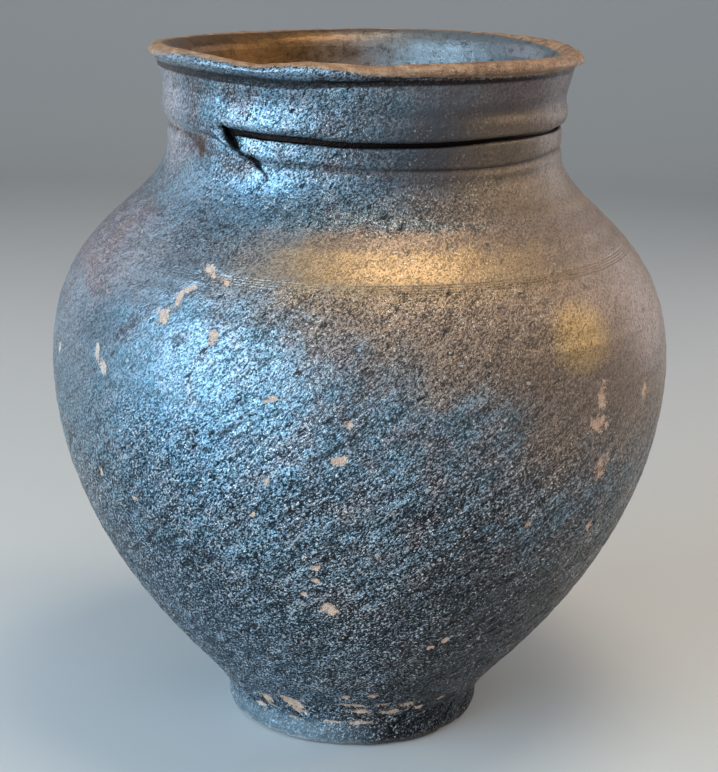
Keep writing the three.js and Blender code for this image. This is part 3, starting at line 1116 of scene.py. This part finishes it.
    # Painted shade on the neck and its root, from left of the middle round to the right.
    neck_shade = up(234, 244) * up(287, 279) * right(-0.55, -0.15) * open_glaze
    base = w.coated(
        w.blend(sheen, c.dark_glaze, c.blue_glaze_and_reflection),
        (tint.step(0.52, 0.66) * 0.60, VIOLET_CLOUD),
        (tint.step(0.47, 0.36) * 0.50, TEAL_CLOUD),
        (left_low_highlight * 0.64, LOW_HIGHLIGHT_BLUE),
        (left_smooth * 0.55, SMOOTH_BLUE),
        (left_edge_highlight * 0.45, EDGE_HIGHLIGHT_BLUE),
        (violet_side * 0.70, EDGE_VIOLET),
        (root_highlight * 0.80, w.blend(up(224, 240), ROOT_HIGHLIGHT_GREY, ROOT_HIGHLIGHT_BLUE)),
        (brown, w.blend(upper_neck, c.brown_glaze, c.violet_glaze)),
        (golden * (0.62 + mottle * 0.5), c.golden_glaze_and_highlight),
        (highlight_spot * (0.10 + mottle * 0.5), HIGHLIGHT_SPOT_GOLD),
        (shaded * 0.93, SHADED_BLACK),
        (pink_edge_reflection * 0.6, EDGE_REFLECTION_PINK),
        (dull * 0.8, DULL_GREY),
        (neck_shade * 0.38, NECK_SHADE_BLACK))

    # Grain: painted highlights on the crests and painted glints, painted shade in the hollows and
    # furrows, and dark pits and short gashes.
    lower, lowest = up(190, 125, 30), up(125, 65, 30)
    grain = peel * 0.55 + speckle * 0.45 + (strokes - 0.5) * 0.16
    crest_highlight_tint = w.coated(w.blend(tint.step(0.44, 0.58), HIGHLIGHT_BLUE, HIGHLIGHT_GREY),
                    (brown.highest(golden), HIGHLIGHT_TAN), (lowest * 0.6, HIGHLIGHT_WHITE))
    # Painted highlights on the crests of the grain.
    crest = (grain - lower * 0.012 - lowest * 0.01).step(*CRESTS) * open_glaze \
        * (0.50 + lower * 0.42 + lowest * 0.08 - calm * 0.44 - shaded * 0.74
           - neck_shade * 0.2).highest(0.0)
    # Painted glints: small white highlights, most of them low down.
    glint = (glints + (smudge - 0.5) * 0.35).step(0.62, 0.68) * grain.step(0.45, 0.51) \
        * open_glaze * (0.35 + lower * 0.65) * (1 - calm * 0.8) * (1 - shaded * 0.4)
    # Painted shade in the hollows of the grain.
    hollow = (grain - lower * 0.022 - lowest * 0.02).step(*HOLLOWS)
    deep = pits.step(0.22, 0.06) * mottle.step(0.48, 0.60)
    gash = w.cells(along_strokes(w, x, y, z, mottle), GASH_SIZE, "2D").step(0.10, 0.05) \
        * smudge.step(0.47, 0.53) * (1 - calm * 0.7) * open_glaze
    # Painted shade in the furrows of the brush.
    furrow = w.frayed("furrow", mottle, 0.5).step(0.25, 0.90)
    # Painted shade on the tube at the bottom of the groove under the upper band.
    groove_shade = radius.step(83.5 * MM, 82.6 * MM) * up(262, 264) * open_glaze
    base = w.coated(
        base,
        (crest, crest_highlight_tint),
        (glint, GLINT_WHITE),
        (hollow * (0.84 + lower * 0.12 - calm * 0.58), NEAR_BLACK),
        (deep * (1 - calm) * 0.8, NEAR_BLACK),
        (gash * 0.95, NEAR_BLACK),
        (furrow * (0.62 - brown * 0.3), FURROW_SHADE_BLACK),
        (groove_shade, GROOVE_SHADE_BLACK),
        (inside, mouth_glaze(w, side, z, mottle, speckle)))

    # Pale specks, torn places and chips down to the clay.
    specks = (speck_field + (speck_groups - 0.5) * 0.25 + low * 0.03 - side * 0.015) \
        .step(0.735, 0.765) * open_glaze * (1 - calm * 0.8)
    # Darker brown along the gash behind the flap, partly painted shade below the flap's edge.
    worn = (torn * 0.85 + (mottle - 0.5) * 1.7 + (speckle - 0.5) * 0.6).step(0.15, 0.85) \
        * open_glaze
    # Painted shade in the notch of the tear.
    gap = w.frayed("gap", speckle, 0.3).step(0.25, 0.62)
    ragged_edge = chip + (mottle - 0.5) * 1.9 + (speckle - 0.5) * 1.3
    bare = ragged_edge.step(0.05, 0.30) * chip.step(-0.65, -0.30) * open_glaze
    fresh = w.coated(w.blend(speckle.step(0.40, 0.60), CHIP_RED, c.chipped_clay),
                     (mottle.step(0.52, 0.62) * 0.5, CHIP_PALE))

    # The foot: scuffed grey-blue on its wall, rubbed to the clay where it stands.
    scuffed = up(17, 9, 14, mottle - 0.5) * open_glaze * right(0.35, -0.35, 0.4)
    foot_wear = up(5, 1, 9, mottle - 0.5) * open_glaze
    base = w.coated(
        base,
        (specks * 0.7, c.grit),
        (worn * 0.90, w.blend(speckle.step(0.4, 0.6), TORN_DARK, TORN_BROWN)),
        # Painted shade in the creases: under the lip, in the groove, at the root of the neck and
        # under the flap.
        (crease * 0.88, CREASE_SHADE_BROWN),
        (gap * 0.95, GAP_SHADE_BLACK),
        (bare * (0.95 - up(150, 172) * 0.22), fresh),
        (scuffed * 0.6, SCUFF_GREY),
        (foot_wear * 0.75, w.blend(right(0.3, -0.4), FOOT_BROWN, FOOT_GREY)))

    matt = bare.highest(worn * 0.8).highest(specks * 0.8).highest(foot_wear) \
        .highest(scuffed * 0.4).highest(dull * 0.55)
    metallic = (sheen * 0.80 + 0.12).highest(brown * 0.45).highest(golden * 0.62)
    metallic = w.mixed(inside, metallic * (1 - shaded * 0.75), up(206, 222) * 0.75)
    metallic = metallic * (1 - matt) * (1 - pink_edge_reflection * 0.6)
    # A near-black colour under metal reflects almost nothing, so these are painted shade: in the
    # hollows, the groove, the notch, the creases and along the tear.
    metallic = metallic.highest(hollow * open_glaze * (1 - matt) * (0.30 + lower * 0.50))
    metallic = metallic.highest(groove_shade).highest(gap).highest(crease * 0.88).highest(worn * 0.9)
    roughness = 0.27 + calm * 0.12 + (speckle - 0.5) * 0.20 + (mottle - 0.5) * 0.14 + matt * 0.4
    roughness = roughness + inside * up(222, 206) * 0.45 + hollow * 0.15

    deep_peel = s.peel_depth
    rough = (1 - calm * 0.72) * (1 - inside * 0.62) * (1 + lower * 0.5)
    height = (peel + (1 - pits) * 0.25) * deep_peel * rough
    height = height + (speckle - 0.5) * (deep_peel * 0.50) * (1 - calm * 0.60)
    height = height + (brushed - 0.5) * (deep_peel * 0.18) * (0.2 + calm * 0.8)
    height = height - bare * (0.12 * MM) + specks * (0.10 * MM) - gash * (0.25 * MM)
    return w.surface(base, roughness, metallic, height)


def mouth_glaze(w, side, z, mottle, speckle):
    """Colour inside the mouth, the same on the lip and the neck: orange-brown to the left and
    dark to the right, and bare clay below the neck."""
    c = colours()
    ragged = (w.noise(w.place, *MOUTH_EDGE) - 0.5) * (36 * MM)
    drawn_thin = (side + (mottle - 0.5) * 0.5 + ragged * 12).step(0.40, -0.45)
    thin = w.coated(w.blend(drawn_thin, MOUTH_GREY, c.inside_glaze),
                    (mottle.step(0.50, 0.66) * drawn_thin * 0.4, MOUTH_ORANGE),
                    ((mottle * 0.6 + speckle * 0.4).step(0.50, 0.36) * 0.7, MOUTH_DARK))
    clay = w.blend(mottle.step(0.5, 0.7) * 0.6, c.clay, CLAY_BROWN)
    return w.blend((z + ragged).step(206 * MM, 214 * MM), clay, thin)


def worn_glaze():
    """The lip: dark glaze below, worn through to tan on the crest. Its blue on the left is partly
    a painted reflection of the window light, and painted highlights and painted shade lie in its
    grain and in the crease under it.
    """
    c, s = colours(), sizes()
    w = Finish("worn_lip_glaze")
    _, _, z, _, side = w.round_jar()
    cloud, mottle, speckle, body_mottle = (
        w.noise(w.place, *look) for look in (LIP_CLOUD, LIP_MOTTLE, SPECKLE, MOTTLE))
    grain = w.noise(w.levelled(0.25), *LIP_GRAIN)
    peel = w.noise(w.drawn_out(DRAG, STRETCH), *PEEL)
    inside = w.mark("inside")
    crease = w.frayed("crease", speckle, 0.4).step(*CREASED)
    fray = (mottle - 0.5) * 1.5 + (speckle - 0.5) * 1.4 + (cloud - 0.5) * 0.5
    wear = (w.mark("wear") + fray).step(0.30, 0.66)
    fine = peel * 0.55 + speckle * 0.45
    flecks = (body_mottle * 0.35 + mottle * 0.40 + speckle * 0.25).step(0.515, 0.455)
    # On the left the lip's blue is partly a painted reflection of the window light; its crests
    # carry painted highlights and its hollows painted shade.
    dark = w.coated(
        w.blend((side + (cloud - 0.5)).step(0.35, -0.4), LIP_DARK, c.blue_glaze_and_reflection),
        (fine.step(*CRESTS) * 0.6, LIP_HIGHLIGHT),
        (fine.step(*HOLLOWS) * 0.88, LIP_HOLLOW_SHADE),
        (inside, mouth_glaze(w, side, z, body_mottle, speckle)))
    tan = w.coated(
        w.blend(grain.step(0.38, 0.72), LIP_BROWN, c.worn_lip),
        # Painted highlights on light specks of the tan.
        (speckle.step(0.52, 0.64) * 0.40, LIP_TAN_HIGHLIGHT),
        (flecks * (0.38 + side.step(-0.1, 0.5) * 0.42), LIP_FLECK))
    # The tan where the lip is worn, and painted shade in the crease under it.
    base = w.coated(dark, (wear, tan), (crease * 0.88, LIP_CREASE_SHADE_BROWN))
    metallic = ((1 - wear) * w.mixed(inside, 0.70, 0.65)).highest(crease * 0.88)
    roughness = 0.30 + wear * 0.20 + (speckle - 0.5) * 0.2
    height = (peel * (1 - inside * 0.6) + grain * 0.25 + mottle * 0.3) * s.peel_depth \
        + (speckle - 0.5) * (s.peel_depth * 0.35) - wear * (0.08 * MM)
    return w.surface(base, roughness, metallic, height)


def bare_clay():
    """Matt fired clay with fine grit."""
    c = colours()
    w = Finish("matt_clay")
    cloud, mottle, speckle = (w.noise(w.place, *look)
                              for look in (CLAY_CLOUD, CLAY_MOTTLE, CLAY_SPECKLE))
    rings = w.noise(w.levelled(0.3), *CLAY_RINGS)
    base = w.coated(w.blend(cloud.step(0.35, 0.7), c.clay, CLAY_RED),
                    (mottle.step(0.5, 0.75) * 0.5, CLAY_BROWN),
                    (speckle.step(0.66, 0.72), c.grit))
    height = mottle * (0.16 * MM) + speckle * (0.07 * MM) + rings * (0.10 * MM)
    return w.surface(base, 0.82 + (mottle - 0.5) * 0.2, 0.0, height)


def pale_grit():
    """Grains of quartz and clay that stand out of the glaze."""
    c = colours()
    w = Finish("grit_grains")
    fine = w.noise(w.place, *GRIT_GRAIN)
    base = w.blend(w.noise(w.place, *GRIT_TONE).step(0.35, 0.65), c.grit, c.chipped_clay)
    return w.surface(base, 0.5 + fine * 0.3, 0.0, fine * (0.05 * MM))


# ---------------------------------------------------------------------------
# Making and placing pieces
# ---------------------------------------------------------------------------

FINISHES = {"iron_glaze": ("pitted_iron_glaze", iron_glaze),
            "worn_glaze": ("worn_lip_glaze", worn_glaze),
            "bare_clay": ("matt_clay", bare_clay)}

LUMP_SIZE = 17 * MM
GRAIN_SIZE = 3.6 * MM
FURROW_SIZE = 3.3 * MM
RELIEF_SEED = 4.0
GRIT_DENSITY = 16000.0     # grains on a square metre, where they lie thickest
GRIT_SEED = 12
CLAY_DEPTH = 0.7           # relief of the coils, as a share of the relief of the glaze
COIL_SWELL = 2.3           # how far a coil stands off the wall, mm
COIL_REACH = 7.0           # how far the floor coil reaches over the floor, mm


def made_once(store, name, maker):
    """What goes by this name, made when it is first asked for."""
    return store.get(name) or maker()


def put_on_body(name, mesh, node=None):
    piece = bpy.data.objects.new(name, mesh)
    bpy.context.scene.collection.objects.link(piece)
    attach(piece, BODY)
    if node:
        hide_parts(node)


def make_piece(name, node, runs, slot, columns=ROUND, closed=True, depth=1.0):
    """Turns an outline, shapes it by hand, gives it its relief and puts it in place of a node."""
    s = sizes()
    material = made_once(bpy.data.materials, *FINISHES[slot])
    outline = bpy.data.objects.new("outline", outline_mesh(runs, closed))
    outline.hide_render = True
    bpy.context.scene.collection.objects.link(outline)
    turning = made_once(bpy.data.node_groups, "turned_on_the_wheel", turning_tree)
    turned = plain_mesh(turning, bpy.data.meshes.new("blank"), {
        "Outline": outline, "Columns": columns, "Closed": closed, "Material": material}, name)
    bpy.data.objects.remove(outline)
    shaped_by_hand(turned, node)
    relief = made_once(bpy.data.node_groups, "hand_thrown_relief", relief_tree)
    made = plain_mesh(relief, turned, {
        "Lump Size": LUMP_SIZE, "Lump Depth": s.lump_depth * depth,
        "Grain Size": GRAIN_SIZE, "Grain Depth": s.grain_depth * depth,
        "Furrow Size": FURROW_SIZE, "Furrow Depth": s.furrow_depth * depth,
        "Drag": DRAG, "Stretch": STRETCH, "Seed": RELIEF_SEED, "Material": material}, name)
    if len(made.polygons) < columns:
        raise RuntimeError(f"{name} came out empty")
    put_on_body(name, made, node)


class JAR_OT_foot(bpy.types.Operator):
    """Makes the foot ring and the floor slab in it"""
    bl_idname = "jar.foot"
    bl_label = "Foot"

    def execute(self, context):
        s = sizes()
        foot, high = mm(s.foot_radius), mm(s.foot_height)
        inner, ground = foot - FOOT_RING, GROUND_GAP
        shown = rounded([(foot - 4.6, ground), (foot - 1.6, 1.3), (foot - 0.1, 4.2), (foot, 9),
                         (foot, high)])
        make_piece("foot", "foot_ring", [
            Run([(inner, ground), shown[0]], 2.0, 0.3),
            Run(shown, 0.8, leans=(GROUND_LEAN, FOOT_LEAN)),
            joint((foot, high), (inner, high), 8.0),
            Run([(inner, high), (inner, ground)], 2.0, 0.5)], "iron_glaze")

        inside = moved_in(lower_line(), mm(s.wall))
        under, top = mm(node_bottom("base_slab")) + FLOOR_GAP, mm(node_top("base_slab"))
        spigot = inner - SLIP
        seat, rim = ((radius_of(inside, level) - SEAT, level) for level in (high, top))
        make_piece("floor_slab", "base_slab", [
            Run([(0, under), (spigot, under)], 1.5),
            joint((spigot, under), (spigot, high), 4.0),
            joint((spigot, high), seat, 6.0),
            joint(seat, rim, 3.0),
            Run([rim, (0, top)], 1.5, inside=1.0)],
            "bare_clay", columns=INSIDE_ROUND, closed=False)
        return {"FINISHED"}


class JAR_OT_body(bpy.types.Operator):
    """Makes the lower and upper halves of the body"""
    bl_idname = "jar.body"
    bl_label = "Body"

    def execute(self, context):
        s = sizes()
        root = mm(s.neck_root)
        close_rows = ((*COMB_BAND, COMB_ROW), (root - 6, root, NECK_STEP_ROW))
        for name, node, line, leans, fine in (
                ("lower_body", "lower_wall", lower_line(), (FOOT_LEAN, LEVEL_LEAN), ()),
                ("shoulder", "shoulder_wall", upper_line(), (LEVEL_LEAN, LEVEL_LEAN),
                 close_rows)):
            low, high = line[0][1], line[-1][1]
            inner = moved_in(line, mm(s.wall))
            inner = inner[(inner[:, 1] > low) & (inner[:, 1] < high)]
            bottom, top = ((radius_of(inner, level), level) for level in (low, high))
            inner = np.concatenate([[bottom], inner, [top]])[::-1]
            make_piece(name, node, [
                Run(line, ROW, fine=fine, leans=leans),
                joint(line[-1], inner[0], 8.0),
                Run(inner, INSIDE_ROW, 0.7, 1.0, leans=(INWARD_LEAN, INWARD_LEAN)),
                joint(inner[-1], line[0], 8.0)], "iron_glaze")
        return {"FINISHED"}


class JAR_OT_neck(bpy.types.Operator):
    """Makes the tube of the neck and the two bands round it"""
    bl_idname = "jar.neck"
    bl_label = "Neck"

    def execute(self, context):
        s = sizes()
        root, cordon, collar = mm(s.neck_root), mm(s.cordon_top), mm(s.collar_bottom)
        lip, tube, neck = mm(s.lip_bottom), mm(s.tube_radius), mm(s.neck_radius)
        inner, band = tube - NECK_WALL, tube + SLIP
        mouth = inner + MOUTH_FLARE
        throat = rounded([(mouth, lip), (mouth - 0.9, lip - 6), (inner + 0.2, lip - 15),
                          (inner, lip - 20), (inner, root)])
        make_piece("neck_tube", "neck_wall", [
            joint((tube, root), (tube, lip), 2.0),
            joint((tube, lip), (mouth, lip), 6.0),
            Run(throat, 1.2, 0.8, 1.0, leans=(INWARD_LEAN, INWARD_LEAN)),
            joint((inner, root), (tube, root), 6.0)], "iron_glaze")

        shown = rounded([(neck, root), (neck + 0.25, root + 1.6), (neck + 0.3, root + 3.8),
                         (neck + 0.1, cordon - 0.9), (neck - 0.5, cordon - 0.1),
                         (band, cordon - 0.2)])
        make_piece("lower_band", "neck_cordon", [
            Run(shown, 0.5, leans=(LEVEL_LEAN, LEVEL_LEAN)),
            joint((band, cordon - 0.2), (band, root), 4.0),
            joint((band, root), (neck, root), 2.0)], "iron_glaze")

        reach = mm(s.lip_radius) - 4.5
        shown = rounded([(band, collar), (neck + 0.6, collar + 0.2), (neck + 1.9, collar + 1.7),
                         (neck + 2.5, collar + 4.2), (neck + 2.4, collar + 6.4),
                         (neck + 1.6, collar + 9.0), (neck + 1.5, collar + 11.6),
                         (neck + 2.4, collar + 15.4), (neck + 3.8, collar + 18.8),
                         (reach, lip)])
        make_piece("upper_band", "neck_collar", [
            Run(shown, 0.6, leans=(LEVEL_LEAN, LEVEL_LEAN)),
            joint((reach, lip), (band, lip), 4.0),
            joint((band, lip), (band, collar), 6.0)], "iron_glaze")
        return {"FINISHED"}


class JAR_OT_lip(bpy.types.Operator):
    """Makes the rolled lip"""
    bl_idname = "jar.lip"
    bl_label = "Lip"

    def execute(self, context):
        s = sizes()
        bottom, top = mm(s.lip_bottom), mm(s.jar_height) - CREST_GAP
        reach = mm(s.lip_radius) - ROLL_GAP
        inner = mm(s.tube_radius) - NECK_WALL + MOUTH_FLARE
        line = rounded([
            (reach - 4.0, bottom), (reach - 3.8, bottom + 1.0), (reach - 2.9, bottom + 2.4),
            (reach - 1.1, bottom + 3.9), (reach + 0.1, bottom + 5.6), (reach - 0.6, bottom + 7.8),
            (reach - 2.6, top + 0.1), (reach - 5.4, top + 0.1), (reach - 7.9, top - 0.9),
            (reach - 10.3, top - 3.0), (inner + 1.0, bottom + 3.2), (inner, bottom)])
        crest = int(np.argmax(line[:, 1]))
        make_piece("lip", "rim_lip", [
            Run(line[:crest + 1], 0.6, leans=(LEVEL_LEAN, UPWARD_LEAN)),
            Run(line[crest:], 0.6, 0.8, 1.0, leans=(UPWARD_LEAN, INWARD_LEAN)),
            joint(line[-1], line[0], 6.0)], "worn_glaze")
        return {"FINISHED"}


class JAR_OT_coils(bpy.types.Operator):
    """Makes the coils of clay pressed into the joints on the inside"""
    bl_idname = "jar.coils"
    bl_label = "Inside coils"

    def execute(self, context):
        s = sizes()
        lower, upper = (moved_in(line, mm(s.wall)) for line in (lower_line(), upper_line()))
        mouth = (mm(s.tube_radius) - NECK_WALL, mm(s.lip_bottom))
        inside = np.concatenate([lower[:-1], upper, [mouth]])
        for name, node in (("belly_joint_coil", "belly_coil"), ("neck_joint_coil", "neck_coil")):
            bottom, top = mm(node_bottom(node)), mm(node_top(node))
            levels = np.linspace(bottom, top, 15)
            stand = SEAT + COIL_SWELL * np.sin(np.pi * (levels - bottom) / (top - bottom)) ** 0.8
            hidden = [(radius_of(inside, z) - SLIP, z) for z in levels]
            shown = [(radius_of(inside, z) - d, z) for z, d in zip(levels, stand)]
            make_piece(name, node, [
                Run(hidden, 2.0, 0.0),
                joint(hidden[-1], shown[-1], 1.0),
                Run(shown[::-1], 0.8, inside=1.0),
                joint(shown[0], hidden[0], 1.0)],
                "bare_clay", columns=INSIDE_ROUND, depth=CLAY_DEPTH)

        bottom, top = mm(node_bottom("floor_coil")), mm(node_top("floor_coil"))
        corner = radius_of(inside, bottom) - SEAT
        edge, end = (corner - COIL_REACH, bottom), (radius_of(inside, top) - 0.4, top)
        make_piece("floor_joint_coil", "floor_coil", [
            joint(edge, (corner, bottom), 3.0),
            joint((corner, bottom), end, 3.0),
            Run(rounded([end, (corner - 1.4, bottom + 2.6), edge]), 0.8, 0.8, 1.0)],
            "bare_clay", columns=INSIDE_ROUND, depth=CLAY_DEPTH)
        return {"FINISHED"}


def grit_tree():
    """Scatters small grains over the outside of a mesh, thickest low down on the wall."""
    w = Shaping("grit_in_the_glaze", {"Grain Size": "Float", "Density": "Float", "Seed": "Int",
                                      "Material": "Material"})
    height = w.parts(w.place)[2]
    clusters = w.noise(w.place, *GRIT_CLUSTERS)
    share = height.step(150 * MM, 30 * MM) * 0.8 + 0.2
    share = share * clusters.step(0.44, 0.66) * (1 - w.kept("inside")) * (1 - w.kept("calm"))
    relief = Amount(w, w.vector("LENGTH", w.kept("out", "FLOAT_VECTOR")))
    share = share * relief.math("GREATER_THAN", 0.5)
    points = w.node("GeometryNodeDistributePointsOnFaces", inputs={
        "Mesh": w.entry.outputs["Geometry"], "Density": share * w.given("Density"),
        "Seed": w.given("Seed")})
    grain = w.node("GeometryNodeMeshIcoSphere", inputs={"Radius": w.given("Grain Size") / 2,
                                                        "Subdivisions": 2})
    size = w.node("FunctionNodeRandomValue", {"data_type": "FLOAT_VECTOR"}, {
        "Min": (0.35, 0.35, 0.22), "Max": (1.0, 0.8, 0.5), "Seed": w.given("Seed")})
    spin = w.node("FunctionNodeRandomValue", {"data_type": "FLOAT"},
                  {"Min": 0.0, "Max": math.tau, "Seed": w.given("Seed")})
    about_itself = w.node("ShaderNodeCombineXYZ", inputs={2: w.read(spin, "Value")})
    turn = w.node("FunctionNodeEulerToRotation", inputs={0: about_itself.outputs[0]})
    turned = w.node("FunctionNodeRotateRotation", {"rotation_space": "LOCAL"}, {
        "Rotation": points.outputs["Rotation"], "Rotate By": turn.outputs[0]})
    placed = w.node("GeometryNodeInstanceOnPoints", inputs={
        "Points": points.outputs["Points"], "Instance": grain.outputs[0],
        "Rotation": turned.outputs[0], "Scale": w.read(size, "Value")})
    return w.finish(placed.outputs[0], w.given("Material"))


class JAR_OT_grit(bpy.types.Operator):
    """Scatters the pale grit that stands out of the glaze on the lower body"""
    bl_idname = "jar.grit"
    bl_label = "Grit"

    def execute(self, context):
        body = bpy.data.objects.get("lower_body")
        if body is None:
            raise RuntimeError("the grit sits on the lower body, so the body comes first")
        tree = made_once(bpy.data.node_groups, "grit_in_the_glaze", grit_tree)
        made = plain_mesh(tree, body.data, {
            "Grain Size": sizes().grit_size, "Density": GRIT_DENSITY, "Seed": GRIT_SEED,
            "Material": made_once(bpy.data.materials, "grit_grains", pale_grit)}, "grit")
        if not made.polygons:
            raise RuntimeError("no grit was made")
        put_on_body("grit", made)
        return {"FINISHED"}


# ---------------------------------------------------------------------------
# Stage
# ---------------------------------------------------------------------------

FRAME_HEIGHT = 772         # pixels
LENS_PIXELS = 1895         # focal length in pixels
SENSOR_WIDTH = 36.0        # mm
CAMERA_PLACE = Vector((0.0, -0.816, 0.369))
CAMERA_PITCH = math.radians(15.08)
CAMERA_ROLL = math.radians(1.26)
JAR_MIDDLE = Vector((0, 0, 0.17))
ROOM_LIGHT = 0.28

# Degrees round from the front and up, how far off, width and height in metres, watts, colour.
LAMPS = {
    "window": (-52, 9, 1.15, 1.15, 1.15, 22.5, "window_light"),
    "front_lamp": (14, 34, 1.25, 0.7, 0.5, 2.6, "rim_light"),
    "side_lamp": (88, 26, 0.9, 0.20, 0.20, 1.3, "lamp_light"),
    "top_lamp": (50, 76, 1.1, 0.45, 0.45, 5.6, "lamp_light"),
    "left_rim": (-128, 14, 1.2, 0.5, 0.9, 2.2, "rim_light"),
    "right_rim": (128, 8, 1.2, 0.5, 0.9, 2.8, "rim_light"),
}

# The floor reaches back to where it rises in a quarter circle to the backdrop, in metres.
FLOOR_REACH = 3.0
FLOOR_BACK = 1.5
FLOOR_RISE = 0.9
FLOOR_STEPS = 24
BACKDROP_TOP = 3.2


def soft_lamp(name, azimuth, elevation, distance, width, height, power, tint):
    """A soft rectangular lamp at an angle round from the front, looking at the jar's middle."""
    a, e = math.radians(azimuth), math.radians(elevation)
    place = JAR_MIDDLE + distance * Vector((math.sin(a) * math.cos(e),
                                            -math.cos(a) * math.cos(e), math.sin(e)))
    lamp = bpy.data.lights.new(name, "AREA")
    lamp.shape = "RECTANGLE"
    lamp.size, lamp.size_y = width, height
    lamp.energy = power
    lamp.color = getattr(colours(), tint)
    holder = bpy.data.objects.new(name, lamp)
    holder.location = place
    holder.rotation_mode = "QUATERNION"
    holder.rotation_quaternion = (JAR_MIDDLE - place).to_track_quat("-Z", "Y")
    bpy.context.scene.collection.objects.link(holder)


class JAR_OT_stage(bpy.types.Operator):
    """Makes the floor and backdrop, the soft lamps and the camera"""
    bl_idname = "jar.stage"
    bl_label = "Stage"

    def execute(self, context):
        scene = context.scene
        c = colours()
        paint = Finish("floor_paint")
        tone = paint.noise(paint.place, *FLOOR_TONE)
        shade = [value * 0.94 for value in c.floor]
        section = [(-FLOOR_REACH, 0.0), (FLOOR_BACK, 0.0)]
        section += [(FLOOR_BACK + FLOOR_RISE * math.sin(t), FLOOR_RISE * (1 - math.cos(t)))
                    for t in np.linspace(0, math.pi / 2, FLOOR_STEPS)[1:]]
        section.append((FLOOR_BACK + FLOOR_RISE, BACKDROP_TOP))
        vertices = [(x, y, z) for y, z in section for x in (-FLOOR_REACH, FLOOR_REACH)]
        faces = [(2 * i, 2 * i + 1, 2 * i + 3, 2 * i + 2) for i in range(len(section) - 1)]
        mesh = bpy.data.meshes.new("backdrop")
        mesh.from_pydata(vertices, [], faces)
        mesh.shade_smooth()
        mesh.materials.append(paint.surface(paint.blend(tone, shade, c.floor), 0.85))
        backdrop = bpy.data.objects.new("backdrop", mesh)
        scene.collection.objects.link(backdrop)

        for name, settings in LAMPS.items():
            soft_lamp(name, *settings)

        world = bpy.data.worlds.new("room")
        world.use_nodes = True
        air = world.node_tree.nodes["Background"]
        air.inputs["Color"].default_value = (*c.fill_light, 1.0)
        air.inputs["Strength"].default_value = ROOM_LIGHT
        scene.world = world

        camera = bpy.data.cameras.new("camera")
        camera.sensor_width = SENSOR_WIDTH
        camera.lens = LENS_PIXELS / FRAME_HEIGHT * SENSOR_WIDTH
        camera.clip_end = 50.0
        holder = bpy.data.objects.new("camera", camera)
        forward = Vector((0, math.cos(CAMERA_PITCH), -math.sin(CAMERA_PITCH)))
        right = Vector((1, 0, 0))
        up = right.cross(forward)
        level, tilt = math.cos(CAMERA_ROLL), math.sin(CAMERA_ROLL)
        across = right * level + up * tilt
        upward = up * level - right * tilt
        turn = Matrix((across, upward, -forward)).transposed()
        holder.matrix_world = Matrix.Translation(CAMERA_PLACE) @ turn.to_4x4()
        scene.collection.objects.link(holder)
        scene.camera = holder
        scene.view_settings.view_transform = "Standard"
        return {"FINISHED"}


# ---------------------------------------------------------------------------
# Panel and registration
# ---------------------------------------------------------------------------

STEPS = (JAR_OT_foot, JAR_OT_body, JAR_OT_neck, JAR_OT_lip, JAR_OT_coils, JAR_OT_grit,
         JAR_OT_stage)


class JAR_PT_panel(bpy.types.Panel):
    """Lists the steps that build the jar, and its sizes and colours"""
    bl_idname = "JAR_PT_panel"
    bl_label = "Stoneware jar"
    bl_space_type = "VIEW_3D"
    bl_region_type = "UI"
    bl_category = "Jar"

    def draw(self, context):
        for operator in STEPS:
            self.layout.operator(operator.bl_idname)
        for group in (context.scene.jar_sizes, context.scene.jar_colours):
            box = self.layout.box()
            for name in group.bl_rna.properties.keys():
                if name not in ("rna_type", "name"):
                    box.prop(group, name)


CLASSES = (JarSizes, JarColours, *STEPS, JAR_PT_panel)


def register():
    for cls in CLASSES:
        bpy.utils.register_class(cls)
    bpy.types.Scene.jar_sizes = bpy.props.PointerProperty(type=JarSizes)
    bpy.types.Scene.jar_colours = bpy.props.PointerProperty(type=JarColours)


def unregister():
    del bpy.types.Scene.jar_colours
    del bpy.types.Scene.jar_sizes
    for cls in reversed(CLASSES):
        bpy.utils.unregister_class(cls)


def main():
    register()
    bpy.ops.jar.foot()
    bpy.ops.jar.body()
    bpy.ops.jar.neck()
    bpy.ops.jar.lip()
    bpy.ops.jar.coils()
    bpy.ops.jar.grit()
    bpy.ops.jar.stage()


if __name__ == "__main__":
    main()
